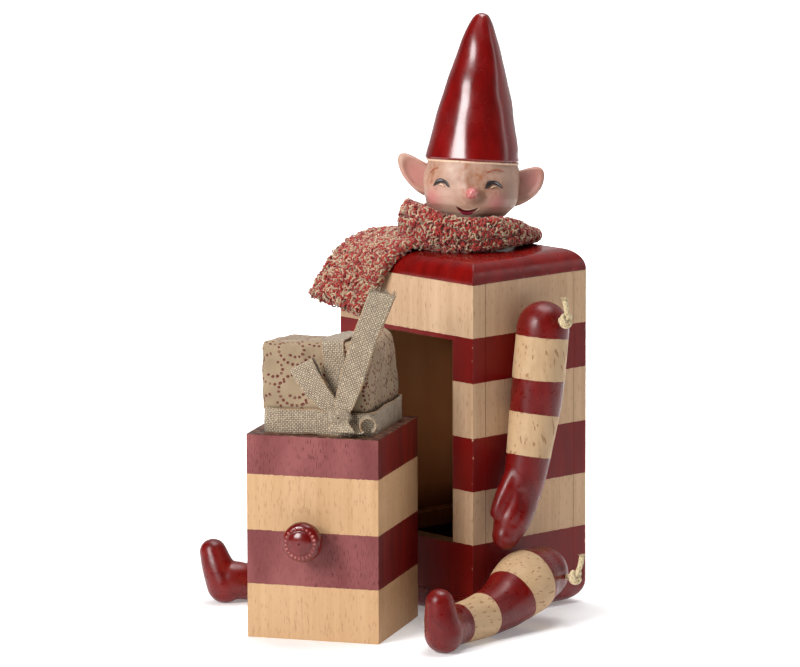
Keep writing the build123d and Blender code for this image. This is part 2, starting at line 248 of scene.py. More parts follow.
def drawer_boards():
    """The drawer's bands; on its front face an open-grained coat drawn pinker and lighter than the red, as painted
    sheen.
    """
    paint = Paint("drawer_boards", Specular_IOR_Level=0.25)
    place = paint.local([c * MM for c in DRAWER_SPOT], (0, 0, DRAWER_TURN))
    x, y, z = paint.axes(place)
    wobble = paint.span(paint.noise((520, 520, 90), 2.0), 0.3, 0.7, -0.14 * MM, 0.14 * MM)
    red = paint.minus(1.0, paint.bands(paint.plus(z, wobble), DRAWER_EDGES, 100.0))
    out_x = paint.minus(paint.size(x), (DRAWER_HALF[0] - COAT_DEPTH) * MM)
    out_y = paint.minus(paint.size(y), (DRAWER_HALF[1] - COAT_DEPTH) * MM)
    rim = paint.minus(z, 94.0 * MM)
    outside = paint.above(paint.math("MAXIMUM", rim, paint.math("MAXIMUM", out_x, out_y)), 0.0)
    front = paint.below(y, -(DRAWER_HALF[1] - 0.3) * MM)
    painted = paint.times(red, outside)
    wood, wood_height = beech(paint, place, (0.65, 3.8), 0.42, tone(206, 168, 128), tone(192, 152, 110))
    coat, coat_height = red_coat(paint, place, tone(120, 20, 15), tone(88, 12, 10))
    clouds = paint.noise((60, 60, 25), 3.0, place)
    # Painted sheen on the front face, with the real open-grain pits darkened into it below.
    sheen_and_pores = paint.mix(paint.span(clouds, 0.35, 0.65), FRONT_SHEEN_RED, FRONT_SHEEN_RED_DEEP)
    pores = paint.noise((2000, 2000, 300), 2.0, place)
    pits = paint.span(pores, 0.56, 0.65)
    patches = paint.span(paint.noise((70, 70, 18), 2.0, place), 0.42, 0.6, 0.3, 1.0)
    pits = paint.times(pits, patches)
    sheen_and_pores = paint.mix(paint.times(pits, 0.75), sheen_and_pores, tone(78, 24, 26))
    # The front face takes the painted-sheen coat in place of the plain red.
    coat = paint.mix(front, coat, sheen_and_pores)
    rim_mask = paint.above(rim, 0.0)
    rim_tone = paint.mix(paint.span(paint.noise((300, 300, 300), 3.0), 0.45, 0.6), tone(74, 34, 28), tone(122, 88, 66))
    coat = paint.mix(rim_mask, coat, rim_tone)
    raw = paint.mix(paint.noise((60, 60, 20), 3.0), tone(140, 98, 62), tone(104, 70, 44))
    colour = paint.mix(painted, paint.mix(outside, raw, wood), coat)
    roughness = paint.minus(0.62, paint.times(painted, 0.12))
    height = paint.mix(painted, wood_height, coat_height)
    height = paint.minus(height, paint.times(paint.times(front, painted), pits))
    height = paint.plus(height, paint.times(painted, 0.5))
    return paint.finish(colour, roughness, paint.bump(height, 0.12, 0.7))


def gloss_red(name, light=RED, deep=RED_DEEP, roughness=0.27, lumps=0.12, specular=0.5, coat=0.2):
    """Gloss red paint over hand-finished wood."""
    paint = Paint(name, Specular_IOR_Level=specular, Coat_Weight=coat, Coat_Roughness=0.16)
    colour, height = red_coat(paint, paint.place, light, deep)
    swell = paint.noise((85, 85, 60), 2.0)
    patchy = paint.span(paint.noise((110, 110, 80), 4.0), 0.3, 0.7, roughness - 0.06, roughness + 0.1)
    normal = paint.bump(swell, lumps * 4, 0.5)
    return paint.finish(colour, patchy, paint.bump(height, lumps, 0.5, normal))


def striped_limb(name, edges, top, lean, spots=(1.5, 8.0)):
    """Carved beech with gloss red bands by the distance along the limb."""
    paint = Paint(name, Specular_IOR_Level=0.38)
    along = paint.node("Attribute", attribute_name="along").outputs["Fac"]
    place = paint.local((0, 0, 0), lean)
    wobble = paint.span(paint.noise((500, 500, 500), 2.0), 0.3, 0.7, -0.14 * MM, 0.14 * MM)
    painted = paint.bands(paint.plus(along, wobble), edges, top)
    wood, wood_height = beech(paint, place, spots, 1.0, tone(200, 168, 130), tone(184, 150, 112))
    coat, coat_height = red_coat(paint, place, tone(112, 12, 9), tone(90, 8, 7))
    dents = paint.noise((1100, 1100, 900), 2.0)
    coat_height = paint.plus(paint.times(coat_height, 0.6), paint.times(dents, 0.12))
    colour = paint.mix(painted, wood, coat)
    gloss = paint.span(paint.noise((300, 300, 300), 2.0), 0.35, 0.65, 0.26, 0.4)
    shine = paint.mix(painted, (0.6, 0.6, 0.6, 1), gloss)
    height = paint.plus(paint.mix(painted, wood_height, coat_height), paint.times(painted, 0.5))
    return paint.finish(colour, shine, paint.bump(height, 0.13, 0.55))


def skin():
    """Satin flesh paint with a tan wash, pink cheeks and painted shade, painted where the mesh's wash says."""
    paint = Paint("painted_skin", Specular_IOR_Level=0.4, Subsurface_Weight=0.04, Subsurface_Scale=0.002)
    wash = paint.node("Attribute", attribute_name="wash").outputs["Color"]
    pink, tan, dark = paint.node("SeparateColor", {0: wash}).outputs
    brush = paint.noise((420, 420, 420), 4.0)
    broken = paint.span(brush, 0.38, 0.62, 0.35, 1.0)
    clouds = paint.noise((150, 150, 150), 3.0)
    base = paint.mix(paint.span(clouds, 0.35, 0.65), tone(198, 164, 145), tone(184, 148, 129))
    streaks = paint.span(paint.noise((520, 520, 160), 3.0), 0.34, 0.6, 0.55, 1.0)
    base = paint.mix(paint.times(paint.times(tan, broken), streaks), base, tone(160, 102, 68))
    base = paint.mix(pink, base, tone(196, 112, 112))
    # The dark amount: painted shade on the face and at the ears' roots, and a deeper brown in the forehead's wash.
    base = paint.mix(paint.times(dark, 0.75), base, tone(116, 84, 66))
    height = paint.plus(brush, paint.noise((1300, 1300, 1300), 2.0))
    return paint.finish(base, paint.span(brush, 0.3, 0.7, 0.36, 0.52), paint.bump(height, 0.1, 0.5))


def daub(name, colour, second, roughness=0.35):
    """One brush colour of the painted face."""
    paint = Paint(name, Specular_IOR_Level=0.5)
    brush = paint.noise((900, 900, 900), 3.0)
    shade = paint.mix(paint.span(brush, 0.38, 0.62), colour, second)
    return paint.finish(shade, roughness, paint.bump(brush, 0.05, 0.5))


DOT_PITCH = 2.15
DOT_CELL = 19.0
DOT_RINGS = 3.6
DOT_SHIFTS = ((4.0, 6.0), (13.5, 15.5))


def kraft_paper():
    """Matt brown paper printed with arcs of dark red dots."""
    paint = Paint("kraft_paper", Specular_IOR_Level=0.25, Sheen_Weight=0.12, Sheen_Roughness=0.5)
    flat = paint.node("UVMap", uv_map="flat").outputs[0]
    fibre = paint.noise((1500, 600, 900), 3.0)
    clouds = paint.noise((70, 70, 70), 3.0)
    ground = paint.mix(paint.span(clouds, 0.35, 0.65), tone(164, 143, 116), tone(146, 126, 100))
    ground = paint.mix(paint.span(fibre, 0.45, 0.75, 0.0, 0.35), ground, tone(140, 116, 88))
    dots = None
    for right, up in DOT_SHIFTS:
        moved = paint.node("VectorMath", {0: flat, 1: (right * MM, up * MM, 0)}, operation="ADD").outputs[0]
        u, v, _ = paint.axes(moved)
        square = DOT_CELL * MM
        across = paint.minus(paint.math("FLOORED_MODULO", u, square), square / 2)
        up = paint.minus(paint.math("FLOORED_MODULO", v, square), square / 2)
        far = paint.math("SQRT", paint.plus(paint.math("POWER", across, 2.0), paint.math("POWER", up, 2.0)))
        turn = paint.math("ARCTAN2", up, across)
        ring = paint.math("ROUND", paint.math("DIVIDE", far, DOT_RINGS * MM))
        off_ring = paint.minus(far, paint.times(ring, DOT_RINGS * MM))
        count = paint.math("ROUND", paint.times(ring, 2 * math.pi * DOT_RINGS / DOT_PITCH))
        step = paint.math("DIVIDE", paint.times(turn, count), 2 * math.pi)
        part = paint.minus(step, paint.math("ROUND", step))
        off_dot = paint.times(part, DOT_PITCH * MM)
        miss = paint.plus(paint.math("POWER", off_ring, 2.0), paint.math("POWER", off_dot, 2.0))
        size = paint.span(paint.noise((330, 330, 330), 1.0), 0.3, 0.7, (0.56 * MM) ** 2, (0.82 * MM) ** 2)
        dot = paint.below(miss, size)
        lobe = paint.below(far, DOT_RINGS * 2.6 * MM)
        hollow = paint.above(far, DOT_RINGS * 0.5 * MM)
        gate = paint.above(paint.math("SINE", paint.plus(turn, paint.times(ring, 2.1))), -0.35)
        dot = paint.times(paint.times(dot, gate), paint.times(lobe, hollow))
        dots = dot if dots is None else paint.math("MAXIMUM", dots, dot)
    rubbed = paint.span(paint.noise((500, 500, 500), 2.0), 0.3, 0.5, 0.55, 0.95)
    colour = paint.mix(paint.times(dots, rubbed), ground, tone(96, 34, 28))
    creases = paint.size(paint.minus(paint.noise((75, 75, 60), 4.0, None, 0.6), 0.5))
    normal = paint.bump(creases, 1.8, 0.5)
    return paint.finish(colour, 0.72, paint.bump(fibre, 0.05, 0.6, normal))


def woven_ribbon():
    """A plain weave of natural and golden threads, by the ribbon's own length and width, with painted shade between
    the threads and painted glints on them.
    """
    paint = Paint("woven_ribbon", Specular_IOR_Level=0.4, Sheen_Weight=0.25, Sheen_Roughness=0.4)
    flat = paint.node("UVMap", uv_map="flat").outputs[0]
    u, v, _ = paint.axes(flat)
    edge = paint.node("Attribute", attribute_name="edge").outputs["Fac"]
    pitch = 0.86 * MM
    warp = paint.math("SINE", paint.times(u, math.pi / pitch))
    weft = paint.math("SINE", paint.times(v, math.pi / pitch))
    over = paint.times(warp, weft)
    # Painted shade and light: cell is bright in each thread's middle and dark in the gaps between threads, and over
    # makes alternate crossings lighter and darker.
    cell = paint.math("POWER", paint.size(over), 0.6)
    uneven = paint.noise((1300, 160, 1), 3.0, flat)
    cross = paint.noise((160, 1300, 1), 3.0, flat)
    threads = paint.plus(paint.times(cell, 0.55), paint.times(over, 0.16))
    blend = paint.plus(threads, paint.plus(paint.times(uneven, 0.3), paint.times(cross, 0.25)))
    ground = paint.mix(paint.span(blend, 0.3, 0.95), tone(84, 62, 46), tone(206, 188, 160))
    # Painted highlight: near-white glints on the thread tops.
    glint = paint.span(paint.noise((1100, 1100, 1100), 1.0), 0.6, 0.68, 0.0, 0.55)
    colour = paint.mix(paint.times(glint, cell), ground, tone(252, 236, 200))
    gold = paint.times(paint.span(edge, 0.9, 0.95), paint.span(uneven, 0.4, 0.6, 0.0, 0.8))
    colour = paint.mix(gold, colour, tone(178, 132, 84))
    height = paint.plus(cell, paint.times(uneven, 0.6))
    return paint.finish(colour, paint.span(cross, 0.3, 0.7, 0.4, 0.62), paint.bump(height, 0.24, 0.8))


def yarn(name, light, dark):
    """Soft bouclé yarn, twisted, with loose fibres."""
    paint = Paint(name, Specular_IOR_Level=0.25, Sheen_Weight=0.5, Sheen_Roughness=0.5)
    shade = paint.node("Attribute", attribute_name="shade").outputs["Fac"]
    fibre = paint.noise((2400, 2400, 2400), 3.0)
    colour = paint.mix(paint.plus(paint.times(shade, 0.75), paint.times(fibre, 0.25)), light, dark)
    return paint.finish(colour, 0.85, paint.bump(fibre, 0.2, 0.7))


def cotton():
    """Pale braided cotton cord, drawn darker in the braid's grooves as painted shade."""
    paint = Paint("cotton_cord", Specular_IOR_Level=0.3, Sheen_Weight=0.3, Sheen_Roughness=0.4)
    flat = paint.node("UVMap", uv_map="flat").outputs[0]
    u, v, _ = paint.axes(flat)
    one = paint.math("SINE", paint.plus(paint.times(u, 2 * math.pi * 4), paint.times(v, 2600)))
    two = paint.math("SINE", paint.minus(paint.times(u, 2 * math.pi * 4), paint.times(v, 2600)))
    braid = paint.math("MAXIMUM", one, two)
    fibre = paint.noise((2600, 2600, 2600), 3.0)
    # Painted shade: the braid drawn darker in the grooves between its strands.
    colour = paint.mix(paint.span(braid, -0.2, 0.9), tone(176, 152, 112), tone(216, 196, 156))
    colour = paint.mix(paint.span(fibre, 0.45, 0.7, 0.0, 0.4), colour, tone(236, 222, 190))
    return paint.finish(colour, 0.8, paint.bump(paint.plus(braid, fibre), 0.1, 0.6))


def steel():
    """Brushed steel, for the screw behind the knob."""
    paint = Paint("screw_steel", Metallic=1.0)
    lines = paint.noise((3000, 3000, 300), 2.0)
    colour = paint.mix(lines, tone(188, 186, 182), tone(142, 140, 136))
    return paint.finish(colour, paint.span(lines, 0.3, 0.7, 0.25, 0.42), paint.bump(lines, 0.03, 0.5))


def plain_beech():
    """Darker unpainted beech, for the parts inside the box and the drawer."""
    paint = Paint("plain_beech", Specular_IOR_Level=0.4)
    colour, height = beech(paint, paint.place, (0.9, 6.0), 0.6, tone(150, 108, 70), tone(118, 80, 50))
    return paint.finish(colour, 0.6, paint.bump(height, 0.08, 0.6))


BOARDS = striped_boards()
DRAWER = drawer_boards()
TOP_RED = gloss_red("top_red", tone(124, 12, 8), tone(102, 8, 6), 0.22, 0.06, 0.36, 0.0)
HAT_RED = gloss_red("hat_red", tone(124, 9, 7), tone(98, 6, 5), 0.22, 0.14, 0.5, 0.5)
KNOB_RED = gloss_red("knob_red", tone(112, 14, 12), tone(94, 10, 9), 0.22, 0.05)
# The beads' lighter pink is partly worn paint and partly painted highlight, the shine on the small beads.
BEAD_WEAR_AND_HIGHLIGHT = gloss_red("bead_red", tone(180, 108, 98), tone(130, 44, 38), 0.3, 0.05)
SKIN = skin()
PAPER = kraft_paper()
RIBBON = woven_ribbon()
COTTON = cotton()
STEEL = steel()
PLAIN = plain_beech()
YARN_RED = yarn("yarn_red", tone(180, 42, 24), tone(116, 24, 17))
YARN_CREAM = yarn("yarn_cream", tone(206, 180, 146), tone(146, 114, 88))
# Painted shade: the ground cloth under the loops is drawn dark brownish red to stand for the shade deep between them.
GROUND_CLOTH_SHADE = yarn("scarf_ground", tone(120, 58, 46), tone(80, 34, 28))


# ---------------------------------------------------------------- mesh helpers
def made(name, points, faces, material, body, slot, place=None, smooth=True, uvs=None):
    """A mesh piece from points in millimetres, in the frame of place, riding on a body."""
    mesh = bpy.data.meshes.new(name)
    placed = np.asarray(points, float).reshape(-1, 3)
    if place is not None:
        turn = np.array(place.to_3x3())
        placed = placed @ turn.T + np.array(place.translation)
    mesh.from_pydata((placed * MM).tolist(), [], faces)
    mesh.update()
    if uvs is not None:
        layer = mesh.uv_layers.new(name="flat")
        index = np.zeros(len(mesh.loops), int)
        mesh.loops.foreach_get("vertex_index", index)
        layer.data.foreach_set("uv", (np.asarray(uvs, float)[index] * MM).ravel())
    mesh.polygons.foreach_set("use_smooth", [smooth] * len(mesh.polygons))
    mesh.materials.append(material)
    piece = bpy.data.objects.new(name, mesh)
    bpy.context.scene.collection.objects.link(piece)
    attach(piece, body)
    return piece


def applied(piece):
    """The piece with its modifiers worked into its mesh."""
    bpy.context.view_layer.update()
    graph = bpy.context.evaluated_depsgraph_get()
    mesh = bpy.data.meshes.new_from_object(piece.evaluated_get(graph))
    piece.modifiers.clear()
    piece.data = mesh
    return piece


def quads(rows, columns, closed=False, start=0):
    """The faces of a grid of points, rows by columns."""
    last = columns if closed else columns - 1
    faces = []
    for row in range(rows - 1):
        for column in range(last):
            after = (column + 1) % columns
            a = start + row * columns
            b = a + columns
            faces.append((a + column, a + after, b + after, b + column))
    return faces


def curve(stations, count):
    """A smooth line of count points through the stations."""
    stations = np.asarray(stations, float)
    padded = np.vstack([2 * stations[0] - stations[1], stations, 2 * stations[-1] - stations[-2]])
    spots = np.linspace(0, len(stations) - 1 - 1e-9, count)
    result = []
    for spot in spots:
        index = int(spot)
        t = spot - index
        a, b, c, d = padded[index:index + 4]
        square = (2 * a - 5 * b + 4 * c - d) * t ** 2
        cube = (3 * b - a - 3 * c + d) * t ** 3
        result.append(0.5 * (2 * b + (c - a) * t + square + cube))
    return np.array(result)


def distances(line):
    """How far along a line each of its points is."""
    return np.concatenate([[0], np.cumsum(np.linalg.norm(np.diff(line, axis=0), axis=1))])


def unit(vector, least=1e-9):
    """The vector's direction, with a length of one."""
    return vector / max(np.linalg.norm(vector), least)


def cap(start, around, turned_over=False):
    """The face that closes a ring of points."""
    ring = range(start, start + around)
    return tuple(reversed(ring)) if turned_over else tuple(ring)


def slab_faces(rows, columns):
    """The faces of a closed slab: an outer grid, an inner grid after it, and walls round their edges."""
    size = rows * columns
    faces = quads(rows, columns)
    faces += [tuple(reversed(face)) for face in quads(rows, columns, False, size)]
    for row in range(rows - 1):
        a = row * columns
        b = a + columns
        faces.append((b, size + b, size + a, a))
        faces.append((b - 1, size + b - 1, size + b + columns - 1, b + columns - 1))
    for column in range(columns - 1):
        end = (rows - 1) * columns + column
        faces.append((column, size + column, size + column + 1, column + 1))
        faces.append((end + 1, size + end + 1, size + end, end))
    return faces


def face_outward(piece, merged=False):
    """Turns all the piece's faces outward, after joining doubled points where merged is set."""
    shape = bmesh.new()
    shape.from_mesh(piece.data)
    if merged:
        bmesh.ops.remove_doubles(shape, verts=shape.verts, dist=DOUBLED)
    bmesh.ops.recalc_face_normals(shape, faces=shape.faces)
    shape.to_mesh(piece.data)
    shape.free()


def mark_points(piece, name, values, kind="FLOAT", field="value"):
    """A named value for each of the piece's points, for its material to read."""
    piece.data.attributes.new(name, kind, "POINT").data.foreach_set(field, values)


def cross_frames(path):
    """Unit directions along a path and two across it, without twist."""
    ahead = np.gradient(path, axis=0)
    ahead /= np.linalg.norm(ahead, axis=1)[:, None]
    side = np.cross(ahead[0], (0.31, 0.52, 0.8))
    sides = []
    for direction in ahead:
        side = side - direction * (side @ direction)
        side /= np.linalg.norm(side)
        sides.append(side)
    sides = np.array(sides)
    return ahead, sides, np.cross(ahead, sides)


def tube(path, radii, around=12, start=0):
    """Points, faces and flat coordinates of a closed tube along a path."""
    path = np.asarray(path, float)
    radii = np.broadcast_to(np.asarray(radii, float), len(path))
    _, side, up = cross_frames(path)
    angles = np.linspace(0, 2 * math.pi, around, endpoint=False)
    ring = np.cos(angles)[None, :, None] * side[:, None] + np.sin(angles)[None, :, None] * up[:, None]
    points = (path[:, None] + radii[:, None, None] * ring).reshape(-1, 3)
    faces = quads(len(path), around, True, start)
    faces.append(cap(start, around, True))
    faces.append(cap(start + (len(path) - 1) * around, around))
    far = distances(path)
    uvs = np.stack([np.tile(np.arange(around) / around * 1000, len(path)), np.repeat(far, around)], axis=1)
    return points, faces, uvs


class Bundle:
    """Several tubes gathered into one mesh's points, faces and flat coordinates."""

    def __init__(self):
        self.blocks = []
        self.faces = []
        self.flats = []
        self.count = 0

    def add(self, path, radii, around):
        points, faces, uvs = tube(path, radii, around, self.count)
        self.blocks.append(points)
        self.faces += faces
        self.flats.append(uvs)
        self.count += len(points)

    def points(self):
        return np.vstack(self.blocks)

    def uvs(self):
        return np.vstack(self.flats)


def domed(stations, count, steps=7):
    """A limb's line and radii, with a round end past each end station."""
    line = curve(stations, count)
    path = line[:, :3]
    radii = line[:, 3]
    ahead, _, _ = cross_frames(path)
    angles = np.linspace(math.pi / 2, 0, steps + 1)[:-1]
    head = [path[0] - ahead[0] * radii[0] * math.sin(a) for a in angles]
    tail = [path[-1] + ahead[-1] * radii[-1] * math.sin(a) for a in reversed(angles)]
    small = np.maximum(np.cos(angles), 0.03)
    path = np.vstack([head, path, tail])
    radii = np.concatenate([radii[0] * small, radii, radii[-1] * small[::-1]])
    return path, radii


def fused(name, parts, voxel, rounds, material, body, slot, place):
    """One carved skin over several overlapping closed tubes."""
    bundle = Bundle()
    for path, radii in parts:
        bundle.add(path, radii, 28)
    piece = made(name, bundle.points(), bundle.faces, material, body, slot, place)
    remesh = piece.modifiers.new("skin", "REMESH")
    remesh.mode = "VOXEL"
    remesh.voxel_size = voxel * MM
    remesh.use_smooth_shade = True
    relax = piece.modifiers.new("relax", "SMOOTH")
    relax.factor = 0.5
    relax.iterations = rounds
    applied(piece)
    piece.data.materials.clear()
    piece.data.materials.append(material)
    return piece


def turned(profile, around, lump=0.0, seed=0.0, grain=0.05):
    """Points and faces of a turned solid from (radius, height) pairs, top to bottom, with hand-carved unevenness."""
    angles = np.linspace(0, 2 * math.pi, around, endpoint=False)
    points = []
    for radius, height in profile:
        for angle in angles:
            x = radius * math.cos(angle)
            y = radius * math.sin(angle)
            swell = noise.noise(Vector((x, y, height)) * grain + Vector((seed, seed, 0)))
            share = 1 + lump * swell / max(radius, 3)
            points.append((x * share, y * share, height))
    faces = quads(len(profile), around, True)
    faces.append(cap(0, around))
    faces.append(cap((len(profile) - 1) * around, around, True))
    return points, faces


# ---------------------------------------------------------------- CAD boards
def finish_node(name, material, bevel=0.0):
    """A carried-over CAD node's material and, where a bevel is given, its eased edges."""
    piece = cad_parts[name]
    piece.data.materials.clear()
    piece.data.materials.append(material)
    if bevel:
        weld = piece.modifiers.new("weld", "WELD")
        weld.merge_threshold = 0.002 * MM
        ease = piece.modifiers.new("ease", "BEVEL")
        ease.width = bevel * MM
        ease.segments = 2
        ease.limit_method = "ANGLE"
        ease.angle_limit = math.radians(40)
        level = piece.modifiers.new("level", "WEIGHTED_NORMAL")
        level.weight = 80
    return piece


for board in ("front_frame", "back_panel"):
    finish_node(board, BOARDS, 0.28)
for board in ("right_side_panel", "left_side_panel"):
    finish_node(board, BOARDS)
for board in ("drawer_front", "drawer_back", "drawer_left_side", "drawer_right_side"):
    finish_node(board, DRAWER, 0.25)
for board in ("drawer_bottom", "right_runner", "left_runner"):
    finish_node(board, PLAIN, 0.3)
finish_node("neck_peg", PLAIN)
finish_node("top_board", TOP_RED, 0.2)
finish_node("base_board", TOP_RED, 0.2)
finish_node("knob_screw", STEEL)
finish_node("arm_cord", COTTON)
finish_node("leg_cord", COTTON)


# ---------------------------------------------------------------- drawer knob
KNOB_PLACE = DRAWER_PLACE @ Matrix.Translation(KNOB) @ Matrix.Rotation(math.pi / 2, 4, "X")
KNOB_STATIONS = (
    (0.3, 14.95), (2.2, 14.8), (3.9, 14.35), (5.1, 13.75), (5.55, 13.3), (6.2, 13.15), (7.2, 12.95), (8.1, 12.4),
    (8.9, 11.2), (9.2, 9.6), (9.0, 8.0), (8.2, 6.9), (6.6, 6.3), (5.2, 5.6), (4.7, 4.0), (4.6, 2.0), (4.6, 0.05),
)


def build_knob():
    """The turned knob, with a ring of small raised beads round its centre."""
    profile = [tuple(p) for p in curve(KNOB_STATIONS, 110)]
    points, faces = turned(profile, 96, 0.12, 2.2, 0.2)
    knob = made("knob_turned", points, faces, KNOB_RED, "drawer", "red_gloss", KNOB_PLACE)
    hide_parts("drawer_knob")
    rng = random.Random(5)
    count = 23
    points = []
    faces = []
    for index in range(count):
        angle = 2 * math.pi * index / count
        centre = np.array([6.85 * math.cos(angle), 6.85 * math.sin(angle), 12.85])
        out = np.array([math.cos(angle), math.sin(angle), 0])
        onward = np.array([-math.sin(angle), math.cos(angle), 0])
        long = rng.uniform(0.45, 0.7)
        deep = rng.uniform(0.5, 0.95)
        for level in range(5):
            tilt = math.pi / 2 * level / 4
            flat = max(math.cos(tilt), 0.05)
            for step in range(10):
                turn = 2 * math.pi * step / 10
                across = onward * (math.cos(turn) * flat * long) + out * (math.sin(turn) * flat * deep)
                points.append(centre + across + np.array([0, 0, 0.55 * math.sin(tilt)]))
        start = index * 50
        faces += quads(5, 10, True, start)
        faces.append(cap(start + 40, 10))
        faces.append(cap(start, 10, True))
    made("knob_beads", points, faces, BEAD_WEAR_AND_HIGHLIGHT, "drawer", "red_gloss", KNOB_PLACE)


build_knob()


# ---------------------------------------------------------------- head
HEAD_PROFILE = ((19.6, 13.6), (20.9, 13.3), (21.7, 10), (22.3, 5), (22.35, 1), (22.2, -3), (20.9, -7), (18.6, -10.5),
                (15.4, -13.4), (11.0, -15.6), (5.5, -16.0), (1.0, -16.0))


def head_radius(height):
    """The head's radius at a height above its centre."""
    profile = sorted((z, r) for r, z in HEAD_PROFILE)
    return float(np.interp(height, [p[0] for p in profile], [p[1] for p in profile]))


def face_point(x, z, lift=0.0):
    """The point of the head's front at that place, lifted off it."""
    radius = head_radius(z) + 0.15
    y = -math.sqrt(max(radius ** 2 - x ** 2, 1.0))
    out = np.array([x, y, 0.0]) / radius
    return np.array([x - HEAD_SHIFT, y, z]) + out * lift


def swell_at(point, centre, size):
    """1 at the centre, falling softly to 0 past its size."""
    gap = np.linalg.norm((np.asarray(point) - centre) / size)
    return math.exp(-gap * gap)


def paint_wash_and_shade(piece, place, spots):
    """Pink, tan and dark amounts for each point of a skin piece; the dark amount and some tan spots are painted shade.
    """
    back = place.inverted()
    colours = []
    for vertex in piece.data.vertices:
        local = back @ (vertex.co / MM)
        amounts = [0.0, 0.12, 0.0]
        for channel, centre, size, strength in spots:
            amounts[channel] += strength * swell_at(local, centre, size)
        rough = noise.noise(local * 0.22) * 0.5 + 0.5
        amounts[1] += 0.35 * max(rough - 0.45, 0)
        colours += [min(a, 1.0) for a in amounts] + [1.0]
    mark_points(piece, "wash", colours, "FLOAT_COLOR", "color")


# The third channel deepens the forehead's brown wash and elsewhere is painted shade.
PINK, TAN, DARK = range(3)
FACE_SPOTS = (
    (PINK, (-18.0, -12.8, -4.6), (5.2, 5.2, 4.4), 0.85),
    (PINK, (12.2, -18.5, -5.4), (5.6, 5.6, 4.8), 0.8),
    (PINK, (-1.0, -24.5, -1.2), (2.6, 3.0, 2.6), 0.9),
    (TAN, (-3.6, -22.0, 5.6), (2.3, 4.0, 6.0), 2.2),
    (DARK, (-3.2, -22.0, 5.0), (1.6, 4.0, 4.6), 0.5),
    (TAN, (3.4, -22.0, 8.0), (3.4, 4.0, 3.0), 0.9),
    (TAN, (1.4, -22.0, 5.0), (3.6, 4.0, 4.0), 0.9),
    (TAN, (-18.8, -11.5, 5.0), (3.4, 5.0, 8.0), 0.95),
    (TAN, (8.5, -20.0, 2.0), (7.0, 6.0, 6.0), 0.75),
    # Painted shade under the nose.
    (TAN, (-2.0, -22.0, -6.0), (5.0, 4.0, 3.0), 0.45),
    # Painted shadow of the nose, falling to its right.
    (TAN, (4.4, -22.0, -2.6), (2.6, 4.0, 3.6), 0.9),
    (TAN, (2.6, -22.0, -13.0), (3.6, 5.0, 2.4), 0.7),
    # Painted shadow of the nose to its right, painted shade under the nose, and painted shade over the face's right
    # side, in this row and the next two.
    (DARK, (4.2, -22.0, -2.2), (2.4, 4.0, 3.4), 1.1),
    (DARK, (0.8, -22.0, -5.0), (3.6, 4.0, 1.6), 0.75),
    (DARK, (17.5, -14.0, 0.0), (6.0, 9.0, 12.0), 0.6),
    (TAN, (0.0, 10.0, 0.0), (30.0, 16.0, 14.0), 0.25),
)


def build_head():
    """The carved head, with its cheeks, eye hollows and chin, and the nose on it."""
    heights = np.linspace(13.6, -15.9, 92)
    profile = [(head_radius(z), z) for z in heights]
    profile = [(r * 0.6, z) for r, z in profile[:1]] + profile + [(3.0, -15.98)]
    points, faces = turned(profile, 150, 0.9, 3.1, 0.09)
    shaped = []
    for x, y, z in points:
        p = np.array([x, y, z])
        out = np.array([x, y, 0.0]) / max(math.hypot(x, y), 1e-6)
        push = 1.3 * swell_at(p, (-17.0, -14.5, -5.5), (6.0, 6.0, 4.5))
        push += 1.1 * swell_at(p, (11.5, -19.0, -5.5), (6.0, 6.0, 4.5))
        push -= 0.9 * swell_at(p, (-14.6, -16.8, 2.4), (4.5, 4.5, 1.8))
        push -= 0.9 * swell_at(p, (9.4, -20.2, 2.8), (4.5, 4.5, 1.8))
        push += 0.8 * swell_at(p, (-1.9, -22.0, 4.5), (2.2, 5.0, 5.0))
        push += 2.8 * swell_at(p, (0.4, -22.0, -2.4), (4.2, 5.0, 3.4))
        push += 0.7 * swell_at(p, (-1.8, -21.5, -14.0), (5.0, 6.0, 2.6))
        push -= 0.9 * swell_at(p, (-1.8, -22.0, -9.6), (4.8, 5.0, 1.4))
        low = 1 / (1 + math.exp((z + 7) / 2.2))
        jaw = -HEAD_SHIFT - 0.7 * low
        side = -1.1 * low * max(x, 0.0) / 20
        shaped.append(p + out * push + np.array([jaw + side, 0, 0]))
    head = made("head_skin", shaped, faces, SKIN, "head", "painted_skin", HEAD_PLACE)
    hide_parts("head")
    paint_wash_and_shade(head, HEAD_PLACE, FACE_SPOTS)
    rows = 22
    around = 36
    nose = []
    for row in range(rows):
        tilt = math.pi * (0.003 + 0.994 * row / (rows - 1))
        for step in range(around):
            turn = 2 * math.pi * step / around
            size = 2.75 + 0.15 * math.sin(2 * turn)
            nose.append((
                -HEAD_SHIFT + size * math.sin(tilt) * math.cos(turn),
                -23.9 - size * 1.05 * math.cos(tilt),
                -1.2 + size * 0.96 * math.sin(tilt) * math.sin(turn),
            ))
    faces = quads(rows, around, True)
    faces.append(cap(0, around))
    faces.append(cap((rows - 1) * around, around, True))
    made("nose", nose, faces, NOSE, "head", "painted_skin", HEAD_PLACE)


STROKE_STEPS = 30
STROKE_SHARES = (-1.0, -0.6, 0.0, 0.6, 1.0)


